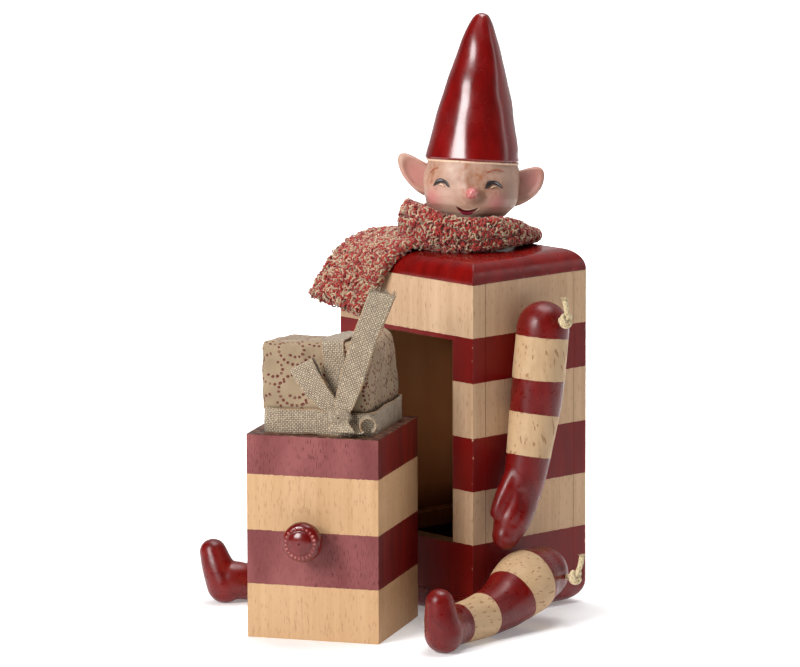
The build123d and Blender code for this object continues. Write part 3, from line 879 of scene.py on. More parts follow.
def stroke(name, stations, material, lift):
    """A brush stroke on the face: stations give x, z and half the stroke's height."""
    line = curve(stations, STROKE_STEPS)
    points = []
    for x, z, half in line:
        half = max(half, 0.03)
        for share in STROKE_SHARES:
            edge = lift * (1 - 0.85 * share * share)
            points.append(face_point(x, z + half * share, edge + 0.05))
    low = [face_point(x, z, -0.5) for x, z, _ in line]
    front = len(points)
    points += low
    wide = len(STROKE_SHARES)
    faces = quads(STROKE_STEPS, wide)
    for index in range(STROKE_STEPS - 1):
        a = index * wide
        b = a + wide
        faces.append((a, b, front + index + 1, front + index))
        faces.append((b + 4, a + 4, front + index, front + index + 1))
    faces.append((0, front, 4, 3, 2, 1))
    faces.append((*range(front - wide, front), front + STROKE_STEPS - 1))
    made(name, points, faces, material, "head", "painted_skin", HEAD_PLACE)


NOSE = daub("nose_paint", tone(206, 132, 124), tone(186, 98, 98), 0.2)
BROWN = daub("brow_paint", tone(150, 74, 48), tone(176, 104, 76), 0.5)
INK = daub("eye_ink", tone(30, 20, 20), tone(58, 44, 42), 0.3)
# Painted highlight: pale grey strokes for the shine on the dark eye paint.
GLINT = daub("eye_glint", tone(168, 168, 172), tone(110, 108, 110), 0.3)
MOUTH = daub("mouth_dark", tone(92, 18, 22), tone(70, 12, 16), 0.3)
LIP = daub("lip_pink", tone(176, 48, 74), tone(150, 36, 56), 0.3)
CREAM = daub("lip_light", tone(236, 206, 178), tone(214, 176, 146), 0.4)


def build_rim_line():
    """The thin line of bare cream paint left between the face and the hat."""
    profile = [(20.4, 12.55), (21.5, 12.6), (21.62, 12.95), (21.5, 13.5), (20.4, 13.6)]
    points, faces = turned([tuple(p) for p in curve(profile, 14)], 120, 0.1, 3.3, 0.02)
    points = [(x - HEAD_SHIFT, y, z) for x, y, z in points]
    made("hat_line", points, faces, CREAM, "head", "painted_skin", HEAD_PLACE)


FACE_STROKES = (
    ("brow_right", BROWN, 0.12, (
        (-19.7, 7.2, 0.1), (-18.2, 8.9, 0.4), (-16, 9.6, 0.42), (-14, 9.0, 0.35), (-12.4, 7.9, 0.08),
    )),
    ("brow_left", BROWN, 0.12, (
        (5.6, 9.3, 0.1), (7.0, 8.9, 0.35), (8.8, 9.7, 0.38), (11.4, 10.2, 0.42), (14.4, 9.5, 0.1),
    )),
    ("eye_right", INK, 0.12, (
        (-17.9, 1.2, 0.2), (-16.8, 2.8, 1.05), (-14.8, 3.9, 0.98), (-12.8, 3.5, 0.95), (-11.3, 2.2, 0.95),
        (-10.5, 1.3, 0.3),
    )),
    ("eye_left", INK, 0.12, (
        (5.9, 1.6, 0.3), (7.0, 3.0, 1.5), (9.0, 4.2, 0.95), (10.8, 4.1, 0.85), (12.6, 3.2, 0.85), (14.2, 1.9, 0.3),
    )),
    # Painted highlights on the eye strokes.
    ("eye_glint_right", GLINT, 0.22, (
        (-16.9, 2.9, 0.05), (-15.6, 3.9, 0.3), (-14.2, 4.1, 0.24), (-13.2, 3.7, 0.05),
    )),
    ("eye_glint_left", GLINT, 0.22, (
        (10.2, 4.4, 0.05), (11.4, 4.0, 0.36), (12.8, 3.0, 0.3), (13.6, 2.3, 0.05),
    )),
    ("eye_white_right", CREAM, 0.1, (
        (-15.4, 1.8, 0.05), (-14.4, 2.2, 0.34), (-13.4, 1.7, 0.3), (-12.9, 1.0, 0.05),
    )),
    ("eye_white_left", CREAM, 0.1, (
        (8.4, 1.6, 0.05), (9.2, 2.1, 0.4), (10.2, 2.5, 0.36), (11.0, 2.4, 0.05),
    )),
    ("mouth_line", MOUTH, 0.12, (
        (-6.9, -7.7, 0.12), (-5.4, -9.0, 0.75), (-3.0, -9.9, 1.0), (-0.4, -9.9, 0.9), (1.8, -8.9, 0.55),
        (3.6, -7.6, 0.1),
    )),
    ("mouth_lip", LIP, 0.22, (
        (-5.4, -9.6, 0.06), (-3.8, -10.5, 0.55), (-1.9, -10.9, 0.68), (0.2, -10.4, 0.5), (1.6, -9.5, 0.06),
    )),
    ("mouth_smile", CREAM, 0.16, (
        (1.2, -10.3, 0.05), (2.6, -9.3, 0.26), (3.7, -8.2, 0.22), (4.3, -7.2, 0.05),
    )),
    ("mouth_upper", CREAM, 0.16, (
        (-4.6, -8.5, 0.05), (-2.8, -8.95, 0.22), (-0.6, -8.9, 0.22), (1.0, -8.3, 0.05),
    )),
)


def build_face():
    """The painted brows, closed eyes and smile."""
    for name, material, lift, stations in FACE_STROKES:
        stroke(name, stations, material, lift)


build_head()
build_rim_line()
build_face()


# ---------------------------------------------------------------- ears
EAR_OUTLINES = {
    1: ((17.0, 8.6), (21.6, 10.4), (26.4, 12.0), (30.0, 12.4), (32.4, 10.8), (33.0, 7.0), (31.8, 2.6), (28.6, -1.6),
        (23.6, -5.2), (17.2, -7.6)),
    -1: ((17.2, 8.6), (22.4, 11.4), (28.0, 14.2), (32.6, 15.6), (35.2, 14.6), (35.6, 11.0), (33.8, 6.2), (30.0, 1.4),
         (24.6, -2.8), (17.2, -5.6)),
}


def build_ear(name, side, node):
    """A pointed ear with a rolled rim round a hollow."""
    outline = curve(EAR_OUTLINES[side], 64)
    middle = np.array([24.5, 5.2])
    rings = 18
    points = []
    for face in (-1, 1):
        for ring in range(rings):
            share = math.sin(math.pi / 2 * (ring + 0.02) / (rings - 1)) if ring else 0.02
            share = min(share, 1.0)
            for x, z in outline:
                px, pz = middle + share * (np.array([x, z]) - middle)
                edge = math.sqrt(max(1 - share ** 6, 0))
                rim = math.exp(-((share - 0.84) / 0.16) ** 2)
                if face < 0:
                    depth = 1.0 + 1.3 * rim
                else:
                    depth = 2.2
                points.append((side * px, face * depth * edge - 0.2, pz))
    around = len(outline)
    front = quads(rings, around, True)
    back = [tuple(reversed(face)) for face in quads(rings, around, True, rings * around)]
    faces = front + back
    faces.append(cap(0, around, True))
    faces.append(cap(rings * around, around))
    ear = made(name, points, faces, SKIN, "head", "painted_skin", HEAD_PLACE)
    face_outward(ear, True)
    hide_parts(node)
    spots = (
        (PINK, (side * 27.5, -1.5, 6.5), (6.5, 3.0, 6.5), 0.42),
        (PINK, (side * 24.0, 2.0, 4.0), (12.0, 4.0, 12.0), 0.4),
        (TAN, (side * 30.0, -2.0, 12.0), (4.0, 4.0, 3.0), 0.5),
        # This spot and the next darken the ear's root where it meets the head: painted shade.
        (DARK, (side * 20.5, -1.5, 4.0), (1.6, 3.0, 6.0), 0.55),
        (TAN, (side * 19.0, -1.5, 4.0), (3.0, 3.0, 8.0), 0.6),
    )
    paint_wash_and_shade(ear, HEAD_PLACE, spots)


build_ear("ear_left", 1, "left_ear")
build_ear("ear_right", -1, "right_ear")


# ---------------------------------------------------------------- hat
def build_hat():
    """The pointed hat, hand carved, with a soft rim edge."""
    stations = (
        (19.4, 13.55), (21.2, 13.5), (22.0, 14.3), (21.8, 16), (20.3, 24), (17.6, 36.5), (15.0, 47), (12.3, 57.5),
        (9.6, 66.5), (7.1, 73.6), (5.3, 78.2), (3.4, 81.4), (1.6, 82.4), (0.3, 82.6),
    )
    profile = curve(stations, 120)
    points, faces = turned([tuple(p) for p in profile], 110, 1.1, 8.4, 0.06)
    points = [(x - 1.0 * (1 - (z - 13.5) / 69), y, z) for x, y, z in points]
    hat = made("hat_cone", points, faces, HAT_RED, "head", "red_gloss", HEAD_PLACE)
    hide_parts("hat")


build_hat()


# ---------------------------------------------------------------- limbs
ARM_RINGS = (
    (0, 0, -4.0, 12.2), (0, -1.6, -16, 12.3), (0, -4.2, -36, 12.1), (0, -7.8, -55, 10.9),
    (0, -11.2, -71, 9.8), (-0.5, -15.4, -84, 9.0), (-0.6, -19.4, -92, 8.6), (-0.6, -23.0, -98.6, 6.6),
)
THUMB_RINGS = ((-0.6, -15.5, -68, 4.8), (-1.4, -20.4, -76, 4.6), (-2.0, -24.4, -83, 4.2), (-2.6, -26.4, -87.5, 3.6))
LEG_RINGS = (
    (0, -5.0, 0.6, 12.4), (0, -18, -2.0, 15.2), (0, -34, -8.6, 12.2), (0, -48, -11.4, 10.5),
    (0, -62, -12.4, 9.6), (0, -71, -12.7, 9.2), (1.6, -77.5, -12.0, 9.2), (3.4, -82, -11.6, 9.0),
)
BOOT_RINGS = ((5.0, -84.6, -13.4, 8.9), (4.6, -86.0, -6, 7.8), (4.2, -86.6, 1.2, 6.5))
ARM_BANDS = (0.0, 4.0, 23.5, 39.8, 59.5)
LEG_BANDS = (0.0, 9.0, 23.5, 45.5, 63.5)
ARM_SLANT = (math.radians(16), math.radians(9), 0)
LEG_SLANT = (math.radians(80), 0, math.radians(12))


def mark_along(piece, line, place):
    """How far each point is along the limb's line, in metres, for its painted bands."""
    line = np.asarray(line)
    ahead = np.gradient(line, axis=0)
    ahead /= np.linalg.norm(ahead, axis=1)[:, None]
    far = distances(line)
    tree = kdtree.KDTree(len(line))
    for index, point in enumerate(line):
        tree.insert(Vector(point), index)
    tree.balance()
    back = place.inverted()
    values = []
    for vertex in piece.data.vertices:
        local = back @ (vertex.co / MM)
        _, index, _ = tree.find(local)
        gap = np.array(local) - line[index]
        values.append((far[index] + float(gap @ ahead[index])) * MM)
    mark_points(piece, "along", values)


def mirrored(rings, side):
    """The rings of a limb on the given side of the toy."""
    return [(side * ring[0], *ring[1:]) for ring in rings]


def build_arm(name, side, body, node):
    """A carved arm with a mitten hand, its thumb marked off by a shallow groove."""
    place = Matrix.Translation((side * SHOULDER[0], SHOULDER[1], SHOULDER[2]))
    main = domed(mirrored(ARM_RINGS, side), 70)
    thumb = domed(mirrored(THUMB_RINGS, side), 12)
    arm = fused(name, (main, thumb), 0.62, 22, ARM_PAINT, body, "striped_limb", place)
    back = place.inverted()
    groove = curve(((-23.6, -92.0), (-21.0, -87.5), (-19.4, -82.5), (-19.2, -78.0)), 16)
    for vertex in arm.data.vertices:
        x, y, z = back @ (vertex.co / MM)
        carve = 0.0
        if z < -70:
            near = np.min(np.hypot(groove[:, 0] - y, groove[:, 1] - z))
            carve = 0.8 * math.exp(-(near / 1.7) ** 2)
        ripple = 0.22 * noise.noise(Vector((x, y, z)) * 0.13 + Vector((side, 5, 2)))
        out = 1.0 if x > 0 else -1.0
        vertex.co.x += (ripple - carve) * out * MM
    mark_along(arm, curve(mirrored(ARM_RINGS, side), 240)[:, :3], place)
    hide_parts(node)


def build_leg(name, side, body, node, splay, toe_out):
    """A carved leg, bent at the knee, with a boot whose toe stands up."""
    place = Matrix.Translation((side * HIP[0], HIP[1], HIP[2])) @ Matrix.Rotation(math.radians(splay * side), 4, "Z")
    boot = [(x + toe_out * share, y, z, r) for (x, y, z, r), share in zip(BOOT_RINGS, (0.0, 0.5, 1.0))]
    main = domed(mirrored(LEG_RINGS, side), 70)
    toe = domed(mirrored(boot, side), 24)
    leg = fused(name, (main, toe), 0.7, 10, LEG_PAINT, body, "striped_limb", place)
    back = place.inverted()
    for vertex in leg.data.vertices:
        x, y, z = back @ (vertex.co / MM)
        pinch = 0.8 * math.exp(-((y + 74.5) / 3.0) ** 2) * max(min((z + 10) / 6, 1.0), 0.0)
        ripple = 0.25 * noise.noise(Vector((x, y, z)) * 0.12 + Vector((side * 3, 1, 7)))
        vertex.co.z += (ripple - pinch) * MM
    mark_along(leg, curve(mirrored(LEG_RINGS, side), 240)[:, :3], place)
    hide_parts(node)


ARM_PAINT = striped_limb("arm_paint", ARM_BANDS, 120.0, ARM_SLANT)
LEG_PAINT = striped_limb("leg_paint", LEG_BANDS, 100.0, LEG_SLANT, (1.2, 4.0))
build_arm("arm_right", 1, "right_arm", "right_arm")
build_arm("arm_left", -1, "left_arm", "left_arm")
build_leg("leg_right", 1, "right_leg", "right_leg", 9.0, 0.0)
build_leg("leg_left", -1, "left_leg", "left_leg", 1.5, 7.0)


# ---------------------------------------------------------------- cord knots
def build_knot(name, x, y, z, side, lean, node):
    """A tight overhand knot outside a limb, with a frayed tail standing up from it."""
    rng = random.Random(name)
    middle = x + 0.9 + 3.5
    steps = 90
    loop = []
    for index in range(steps):
        t = 2 * math.pi * index / (steps - 1)
        ring = 1.75 + 0.95 * math.cos(3 * t)
        turn = 2 * t + 0.4
        loop.append((side * (middle + 1.15 * math.sin(3 * t)), y + ring * math.cos(turn), z + ring * math.sin(turn)))
    bundle = Bundle()
    bundle.add(loop, 1.08, 10)
    lead = [(side * (x + 0.4), y, z), (side * (middle - 1.5), y, z), (side * middle, y + 0.4, z + 0.5)]
    tip = (side * (middle + 0.2), y + math.sin(lean) * 9.6, z + math.cos(lean) * 9.6)
    bend = (side * (middle + 0.5), y + math.sin(lean) * 5.0 + 0.3, z + math.cos(lean) * 5.0)
    tail = curve(((side * middle, y + 0.6, z + 1.0), bend, tip), 16)
    for path, radii in ((curve(lead, 8), 1.1), (tail, np.linspace(1.15, 1.3, 16))):
        bundle.add(path, radii, 10)
    for _ in range(34):
        angle = rng.uniform(0, 2 * math.pi)
        out = rng.uniform(0.1, 1.1)
        foot = np.array(tip) + np.array([math.cos(angle), math.sin(angle), 0]) * out * 0.9
        lean_out = np.array([math.cos(angle), math.sin(angle), 0]) * out * rng.uniform(0.3, 1.1)
        head = foot + lean_out + np.array([0, math.sin(lean) * 0.8, rng.uniform(0.5, 1.5)])
        bundle.add(curve((foot - np.array([0, 0, 0.8]), foot, head), 5), 0.13, 4)
    knot = made(name, bundle.points(), bundle.faces, COTTON, "body_box", "cotton_cord", uvs=bundle.uvs())
    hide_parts(node)


for side, hand in ((1, "right"), (-1, "left")):
    for limb, face, joint, lean in (("arm", ARM_FACE, SHOULDER, -6), ("leg", LEG_FACE, HIP, 24)):
        spot = (face, joint[1] - 1.5, joint[2] + 1.2)
        build_knot(f"{limb}_knot_{hand}", *spot, side, math.radians(lean), f"{hand}_{limb}_knot")


# ---------------------------------------------------------------- parcel
PARCEL_HALF = 24.2
PARCEL_LOW = 5.3
PARCEL_TOP = 136.9


def build_parcel():
    """A soft parcel in crumpled paper, folded over at its top corners."""
    across = 44
    tall = 96
    middle = (PARCEL_LOW + PARCEL_TOP) / 2
    half = np.array([PARCEL_HALF, PARCEL_HALF, (PARCEL_TOP - PARCEL_LOW) / 2])
    rounding = 2.4
    points = []
    faces = []
    uvs = []
    for axis in range(3):
        one, two = [(1, 2), (0, 2), (0, 1)][axis]
        n_one = across
        n_two = tall if two == 2 else across
        for sign in (-1, 1):
            start = len(points)
            for i in range(n_two + 1):
                for j in range(n_one + 1):
                    p = np.zeros(3)
                    p[axis] = sign * half[axis]
                    p[one] = (2 * j / n_one - 1) * half[one]
                    p[two] = (2 * i / n_two - 1) * half[two]
                    core = np.clip(p, -(half - rounding), half - rounding)
                    out = p - core
                    out /= np.linalg.norm(out)
                    uvs.append((p[one] + 40 * axis + 3.0, p[two] + 11 * sign))
                    points.append(core + out * rounding + np.array([0, 0, middle]))
            grid = quads(n_two + 1, n_one + 1, False, start)
            flip = (sign > 0) == (axis == 1)
            faces += [tuple(reversed(f)) for f in grid] if flip else grid
    shaped = []
    for point in points:
        x, y, z = point
        up = min(max((z - 97) / 8, 0.0), 1.0)
        near_top = min(max((z - 112) / 25, 0.0), 1.0)
        spot = Vector((x, y, z))
        crumple = noise.noise(spot * 0.07 + Vector((4, 4, 4))) * 0.9
        crumple += (0.5 - abs(noise.noise(spot * 0.16 + Vector((9, 2, 5))))) * 0.9
        crumple += (0.5 - abs(noise.noise(spot * 0.31 + Vector((1, 7, 3))))) * 0.35
        crumple *= 0.25 + 0.75 * up
        edge = max(abs(x), abs(y)) / PARCEL_HALF
        out = np.array([x, y, 0.0]) / max(math.hypot(x, y), 1.0)
        moved = point + out * (crumple - 0.65) * min(edge, 1.0)
        if x < 0:
            moved[0] += up * 2.4 * x / PARCEL_HALF
        lean = 0.5 + 0.5 * y / PARCEL_HALF
        if x > 0:
            moved[0] += up * (0.4 + 0.8 * lean - 3.4 * lean * near_top) * x / PARCEL_HALF
        pinch = math.exp(-((z - 100.5) / 5.0) ** 2) * 0.7
        moved[:2] *= 1 - pinch / PARCEL_HALF
        level = min(max((x - 6) / 14, 0.0), 1.0)
        moved[2] += near_top * (-5.0 * lean * (1 - level) + 0.5 * noise.noise(spot * 0.09))
        dome = (1 - (x / PARCEL_HALF) ** 2) * (1 - (y / PARCEL_HALF) ** 2)
        moved[2] += near_top * (0.6 * dome - 0.5)
        tip = math.exp(-(((x - 17.5) / 2.4) ** 2 + ((y - PARCEL_HALF) / 3.2) ** 2))
        moved[2] += near_top * 2.6 * tip
        moved[2] -= near_top * 2.2 * max((x - 19.5) / 5, 0.0)
        ridge = math.exp(-((z - PARCEL_TOP + 4.5 + 0.12 * (x + 20)) / 0.9) ** 2) * up
        moved[:2] += out[:2] * 0.45 * ridge
        shaped.append(moved)
    place = DRAWER_PLACE
    box = made("parcel_paper", shaped, faces, PAPER, "parcel", "wrapping_paper", place, True, uvs)
    face_outward(box, True)
    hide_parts("parcel")


build_parcel()


# ---------------------------------------------------------------- ribbons
def frayed_end(name, end, onward, count, rng):
    """Loose threads standing out from a ribbon's cut end."""
    bundle = Bundle()
    for index in range(count):
        share = (index + 0.5) / count - 0.5
        foot = end[:3] + end[3:] * share
        spread = np.array([rng.uniform(-0.4, 0.4) for _ in range(3)])
        reach = rng.uniform(0.6, 2.8)
        middle = foot + onward * reach * 0.5 + spread * 0.5
        bundle.add(curve((foot - onward * 0.6, middle, foot + onward * reach + spread * 1.5), 6), 0.14, 4)
    points = bundle.points()
    uvs = bundle.uvs()
    return made(name + "_threads", points, bundle.faces, RIBBON, "parcel", "woven_ribbon", DRAWER_PLACE, True, uvs)


def strip(name, stations, node=None, count=70, thick=0.42, wave=0.12, fray=0):
    """A woven ribbon: stations give its centre, the direction of its width, and its width."""
    rng = random.Random(name)
    line = curve([(*c, *np.array(w) / np.linalg.norm(w) * wide) for c, w, wide in stations], count)
    columns = 13
    far = distances(line[:, :3])
    ahead = np.gradient(line[:, :3], axis=0)
    points = []
    uvs = []
    for layer in (1, -1):
        for row in range(count):
            centre = line[row, :3]
            across = line[row, 3:]
            up = unit(np.cross(across, ahead[row]))
            wide = np.linalg.norm(across)
            for column in range(columns):
                share = column / (columns - 1) - 0.5
                ripple = wave * math.sin(far[row] * 0.55 + share * 5)
                ripple += wave * noise.noise(Vector((far[row] * 0.25, share * 4, wide)))
                hem = 1.25 if abs(share) > 0.44 else 1.0
                nudge = 0.14 * noise.noise(Vector((far[row] * 1.3, 8 * (share > 0), 2))) if abs(share) > 0.45 else 0.0
                points.append(centre + across * (share + nudge / 10) + up * (ripple + layer * thick * hem / 2))
                uvs.append((share * wide, far[row]))
    faces = slab_faces(count, columns)
    piece = made(name, points, faces, RIBBON, "parcel", "woven_ribbon", DRAWER_PLACE, True, uvs)
    face_outward(piece)
    shares = np.abs(np.linspace(-1, 1, columns))
    mark_points(piece, "edge", np.tile(shares, 2 * count))
    if node:
        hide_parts(node)
    threads = frayed_end(name, line[-1], unit(ahead[-1]), fray, rng) if fray else None
    width = float(np.mean([s[2] for s in stations]))
    return piece, threads, width * MM, float(far[-1]) * MM


def rounded_square(half, corner, z, start):
    """Points round a square with rounded corners, from start degrees all the way round."""
    points = []
    for index in range(97):
        angle = math.radians(start + 360 * index / 96)
        c, s = math.cos(angle), math.sin(angle)
        reach = half / max(abs(c), abs(s))
        p = np.array([c, s]) * reach
        core = np.clip(p, -(half - corner), half - corner)
        out = unit(p - core)
        points.append((*(core + out * corner), z))
    return points


def build_ribbons():
    """The ribbons over and round the parcel, and the bow: knot, long tail, folded loop, low tail and curl."""
    right = (1, 0, 0)
    cross = [
        ((13.0, -27.2, 105.5), right, 6.0), ((12.4, -26.4, 110), right, 8.6), ((10.8, -25.6, 118), right, 10.4),
        ((8.8, -25.1, 128), right, 10.8), ((7.8, -24.4, 133.6), right, 10.8), ((7.3, -21.8, 137.2), right, 10.6),
        ((7.3, -12, 137.3), right, 10.6), ((7.3, 0, 136.4), right, 10.6), ((7.3, 12, 135.4), right, 10.6),
        ((7.3, 21.6, 134.0), right, 10.6), ((7.3, 24.9, 130.0), right, 10.6), ((7.3, 25.2, 118), right, 10.6),
        ((7.3, 25.1, 104), right, 10.6), ((7.3, 25.0, 92), right, 10.6),
    ]
    cross_piece, _, wide, long = strip("ribbon_over", cross, "ribbon_cross", 120)
    ring = rounded_square(25.5, 4.6, 99.6, 20)
    stations = []
    for index, (x, y, z) in enumerate(ring[::3]):
        lift = 0.35 * math.sin(index * 0.9) + (0.5 if y < -20 and x < 0 else 0.0)
        wide = x + 0.9 if x > 20 and y > -24 else x
        stations.append(((wide, y, z + lift), (0, 0.02, 1), 11.6))
    band_piece, _, wide, long = strip("ribbon_round", stations, "ribbon_band", 260)
    slant = (0.93, 0.05, -0.36)
    tail = [
        ((13.6, -29.6, 105.0), (1, 0, -0.1), 6.5), ((15.6, -31.2, 110.5), (0.98, 0, -0.2), 9.0),
        ((18.0, -30.9, 119), slant, 11.0), ((20.8, -29.2, 129), slant, 11.4), ((23.4, -26.6, 139), slant, 11.4),
        ((26.0, -21.0, 148.5), (0.95, 0.05, -0.3), 11.8), ((28.3, -13.8, 158.4), (0.96, 0.1, -0.22), 12.4),
    ]
    tail_piece, threads, wide, long = strip("ribbon_long_tail", tail, "ribbon_tail", 90, 0.42, 0.25, 44)
    lean = (0.86, 0.0, 0.5)
    loop = [
        ((10.6, -29.0, 105.5), (0.9, 0, 0.3), 6.5), ((6.0, -31.4, 111.5), lean, 9.5), ((0.6, -33.2, 119), lean, 11.2),
        ((-3.4, -33.2, 125.6), lean, 12.0), ((-4.4, -32.3, 127.6), lean, 12.0), ((-3.6, -31.2, 126.6), lean, 12.0),
        ((0.6, -30.2, 119), lean, 11.0), ((5.5, -29.2, 111.5), lean, 9.5), ((9.6, -28.3, 106), lean, 6.5),
    ]
    loop_piece, _, wide, long = strip("ribbon_short_loop", loop, "ribbon_loop", 110, 0.4, 0.15)
    fan = [
        ((13.2, -29.6, 103.5), right, 6.5), ((13.8, -32.6, 101.0), right, 9.0), ((14.2, -32.8, 99.2), right, 11.6),
        ((14.8, -33.2, 97.2), right, 12.8),
    ]
    fan_piece, fan_threads, _, _ = strip("ribbon_low_tail", fan, None, 40, 0.4, 0.2, 6)
    curl = [((16.5, -28.4, 100.2), (0, 0.6, 1), 5.0), ((20.5, -29.0, 97.6), (0, 1, 0.3), 4.2)]
    for index in range(12):
        angle = math.radians(235 - 27 * index)
        radius = 3.9 - 0.05 * index
        centre = (25.6 + radius * math.cos(angle), -29.2 + 0.1 * index, 100.6 + radius * math.sin(angle))
        curl.append((centre, (-0.45, 1, 0.12), 4.0))
    curl_piece, _, _, _ = strip("ribbon_curl", curl, None, 110, 0.4, 0.05)
    rows = 26
    around = 60
    points = []
    uvs = []
    for row in range(rows):
        tilt = math.pi * (0.03 + 0.94 * row / (rows - 1))
        for step in range(around):
            turn = 2 * math.pi * step / around
            fold = 1 + 0.075 * math.sin(5 * turn + 2.0 * math.sin(tilt)) * math.sin(tilt)
            squeeze = 1 - 0.22 * abs(math.cos(turn)) ** 3
            points.append((
                12.6 + 5.6 * fold * math.sin(tilt) * math.cos(turn) * (1 + 0.2 * math.sin(turn)),
                -29.6 - 2.7 * fold * math.cos(tilt),
                103.6 + 5.4 * fold * squeeze * math.sin(tilt) * math.sin(turn),
            ))
            uvs.append((turn * 5.0, row * 0.7))
    faces = quads(rows, around, True)
    faces.append(cap(0, around, True))
    faces.append(cap((rows - 1) * around, around))
    knot = made("bow_knot", points, faces, RIBBON, "parcel", "woven_ribbon", DRAWER_PLACE, True, uvs)
    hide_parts("ribbon_knot")


build_ribbons()


# ---------------------------------------------------------------- scarf
COLLAR_PLACE = Matrix.Translation((NECK[0], NECK[1], 0)) @ Matrix.Rotation(HEAD_YAW, 4, "Z")


COLLAR_SHAPE = (
    (-180, 1.16, 1.06, 0.0), (-135, 1.08, 1.05, 0.0), (-100, 0.84, 1.0, 0.0), (-70, 0.82, 0.96, 0.6),
    (-45, 0.64, 0.91, 2.0),
    (-20, 0.36, 0.9, 2.2), (0, 0.27, 0.96, 1.0), (25, 0.23, 1.08, 0.2), (50, 0.28, 1.14, 0.0), (75, 0.42, 1.06, 0.0),
    (100, 0.6, 1.0, 0.0), (140, 0.9, 1.0, 0.0), (180, 1.16, 1.06, 0.0),
)


def collar_point(turn, lift):
    """A point of the collar's ground cloth: turn goes round the neck, and lift from the foot (0) over the rim (1)."""
    section = COLLAR_SECTION[min(int(lift * (len(COLLAR_SECTION) - 1)), len(COLLAR_SECTION) - 1)]
    radius, height = section
    degrees = math.degrees(math.atan2(math.sin(turn), math.cos(turn)))
    at = [row[0] for row in COLLAR_SHAPE]
    tall, wide, raised = (np.interp(degrees, at, [row[k] for row in COLLAR_SHAPE]) for k in (1, 2, 3))
    fold = 174.5 + 4.5 * math.sin(turn + 1.3) + 1.0 * math.sin(3 * turn)
    groove = math.exp(-((height - fold) / 1.5) ** 2) * 1.8
    lump = 0.9 * noise.noise(Vector((math.cos(turn) * 2.2, math.sin(turn) * 2.2, height * 0.12)))
    radius = radius * wide - groove + lump
    height = 169 + (height - 169) * tall + raised + 0.7 * noise.noise(Vector((turn * 1.3, 2, 5))) * (height - 168) / 19
    return np.array([radius * 1.1 * math.cos(turn), radius * math.sin(turn), height])


COLLAR_SECTION = [tuple(p) for p in curve(((20.5, 169.3), (24.6, 169.2), (27.6, 171.6), (28.6, 177), (27.8, 182.5),
                                            (26.2, 185.8), (24.7, 185.2), (24.0, 182.6)), 200)]
STRAP_STEPS = 119
STRAP_LEFT = curve((
    (-26, -9, 172.5), (-31, -14, 172), (-37, -22, 171.6), (-41, -31, 168.8), (-44, -38.5, 163.6), (-47, -44.5, 154.6),
    (-48.6, -50.5, 145),
), STRAP_STEPS + 1)
STRAP_RIGHT = curve((
    (2, -17, 172), (1, -24, 171.8), (-3, -31, 170.2), (-8, -37, 165.4), (-11.5, -40, 158.5), (-16, -41.8, 149),
    (-20, -45.5, 139),
), STRAP_STEPS + 1)


def strap_point(across, along):
    """A point of the strap's middle: across from its left edge to its right, along from the neck to its end."""
    row = min(int(along * STRAP_STEPS), STRAP_STEPS - 1)
    share = along * STRAP_STEPS - row
    left = STRAP_LEFT[row] * (1 - share) + STRAP_LEFT[row + 1] * share
    right = STRAP_RIGHT[row] * (1 - share) + STRAP_RIGHT[row + 1] * share
    middle = left * (1 - across) + right * across
    wave = 0.7 * noise.noise(Vector((across * 2.5, along * 3.0, 4))) + 0.8 * math.sin(math.pi * across)
    return middle + np.array([0, -wave * 0.7, wave * 0.7])


def yarn_loops(name, spots, material, rng, with_place):
    """Small loops of yarn standing on the given points and outward directions."""
    points = []
    faces = []
    shades = []
    segments = 6
    around = 4
    angles = np.linspace(0, 2 * math.pi, around, endpoint=False) + 0.4
    for point, out in spots:
        side = np.array([rng.gauss(0, 1) for _ in range(3)])
        side = unit(side - out * (side @ out))
        wide = rng.uniform(0.8, 1.7)
        rise = rng.uniform(0.7, 1.6)
        thick = rng.uniform(0.32, 0.45)
        lean = np.cross(out, side) * rng.uniform(-1.0, 1.0)
        sweep = np.linspace(-0.25, math.pi + 0.25 + rng.uniform(0, 0.9), segments)
        path = point + np.outer(np.cos(sweep) * wide, side) + np.outer(np.sin(sweep) * rise, out)
        path = path + np.outer(np.sin(sweep) * 0.8, lean)
        _, one, two = cross_frames(path)
        ring = np.cos(angles)[None, :, None] * one[:, None] + np.sin(angles)[None, :, None] * two[:, None]
        start = len(points) * segments * around
        points.append((path[:, None] + thick * ring).reshape(-1, 3))
        faces += quads(segments, around, True, start)
        faces.append(cap(start, around, True))
        faces.append(cap(start + (segments - 1) * around, around))
        shades += [rng.random()] * (segments * around)
    piece = made(name, np.vstack(points), faces, material, "body_box", "boucle_yarn", with_place)
    mark_points(piece, "shade", shades)
    return piece


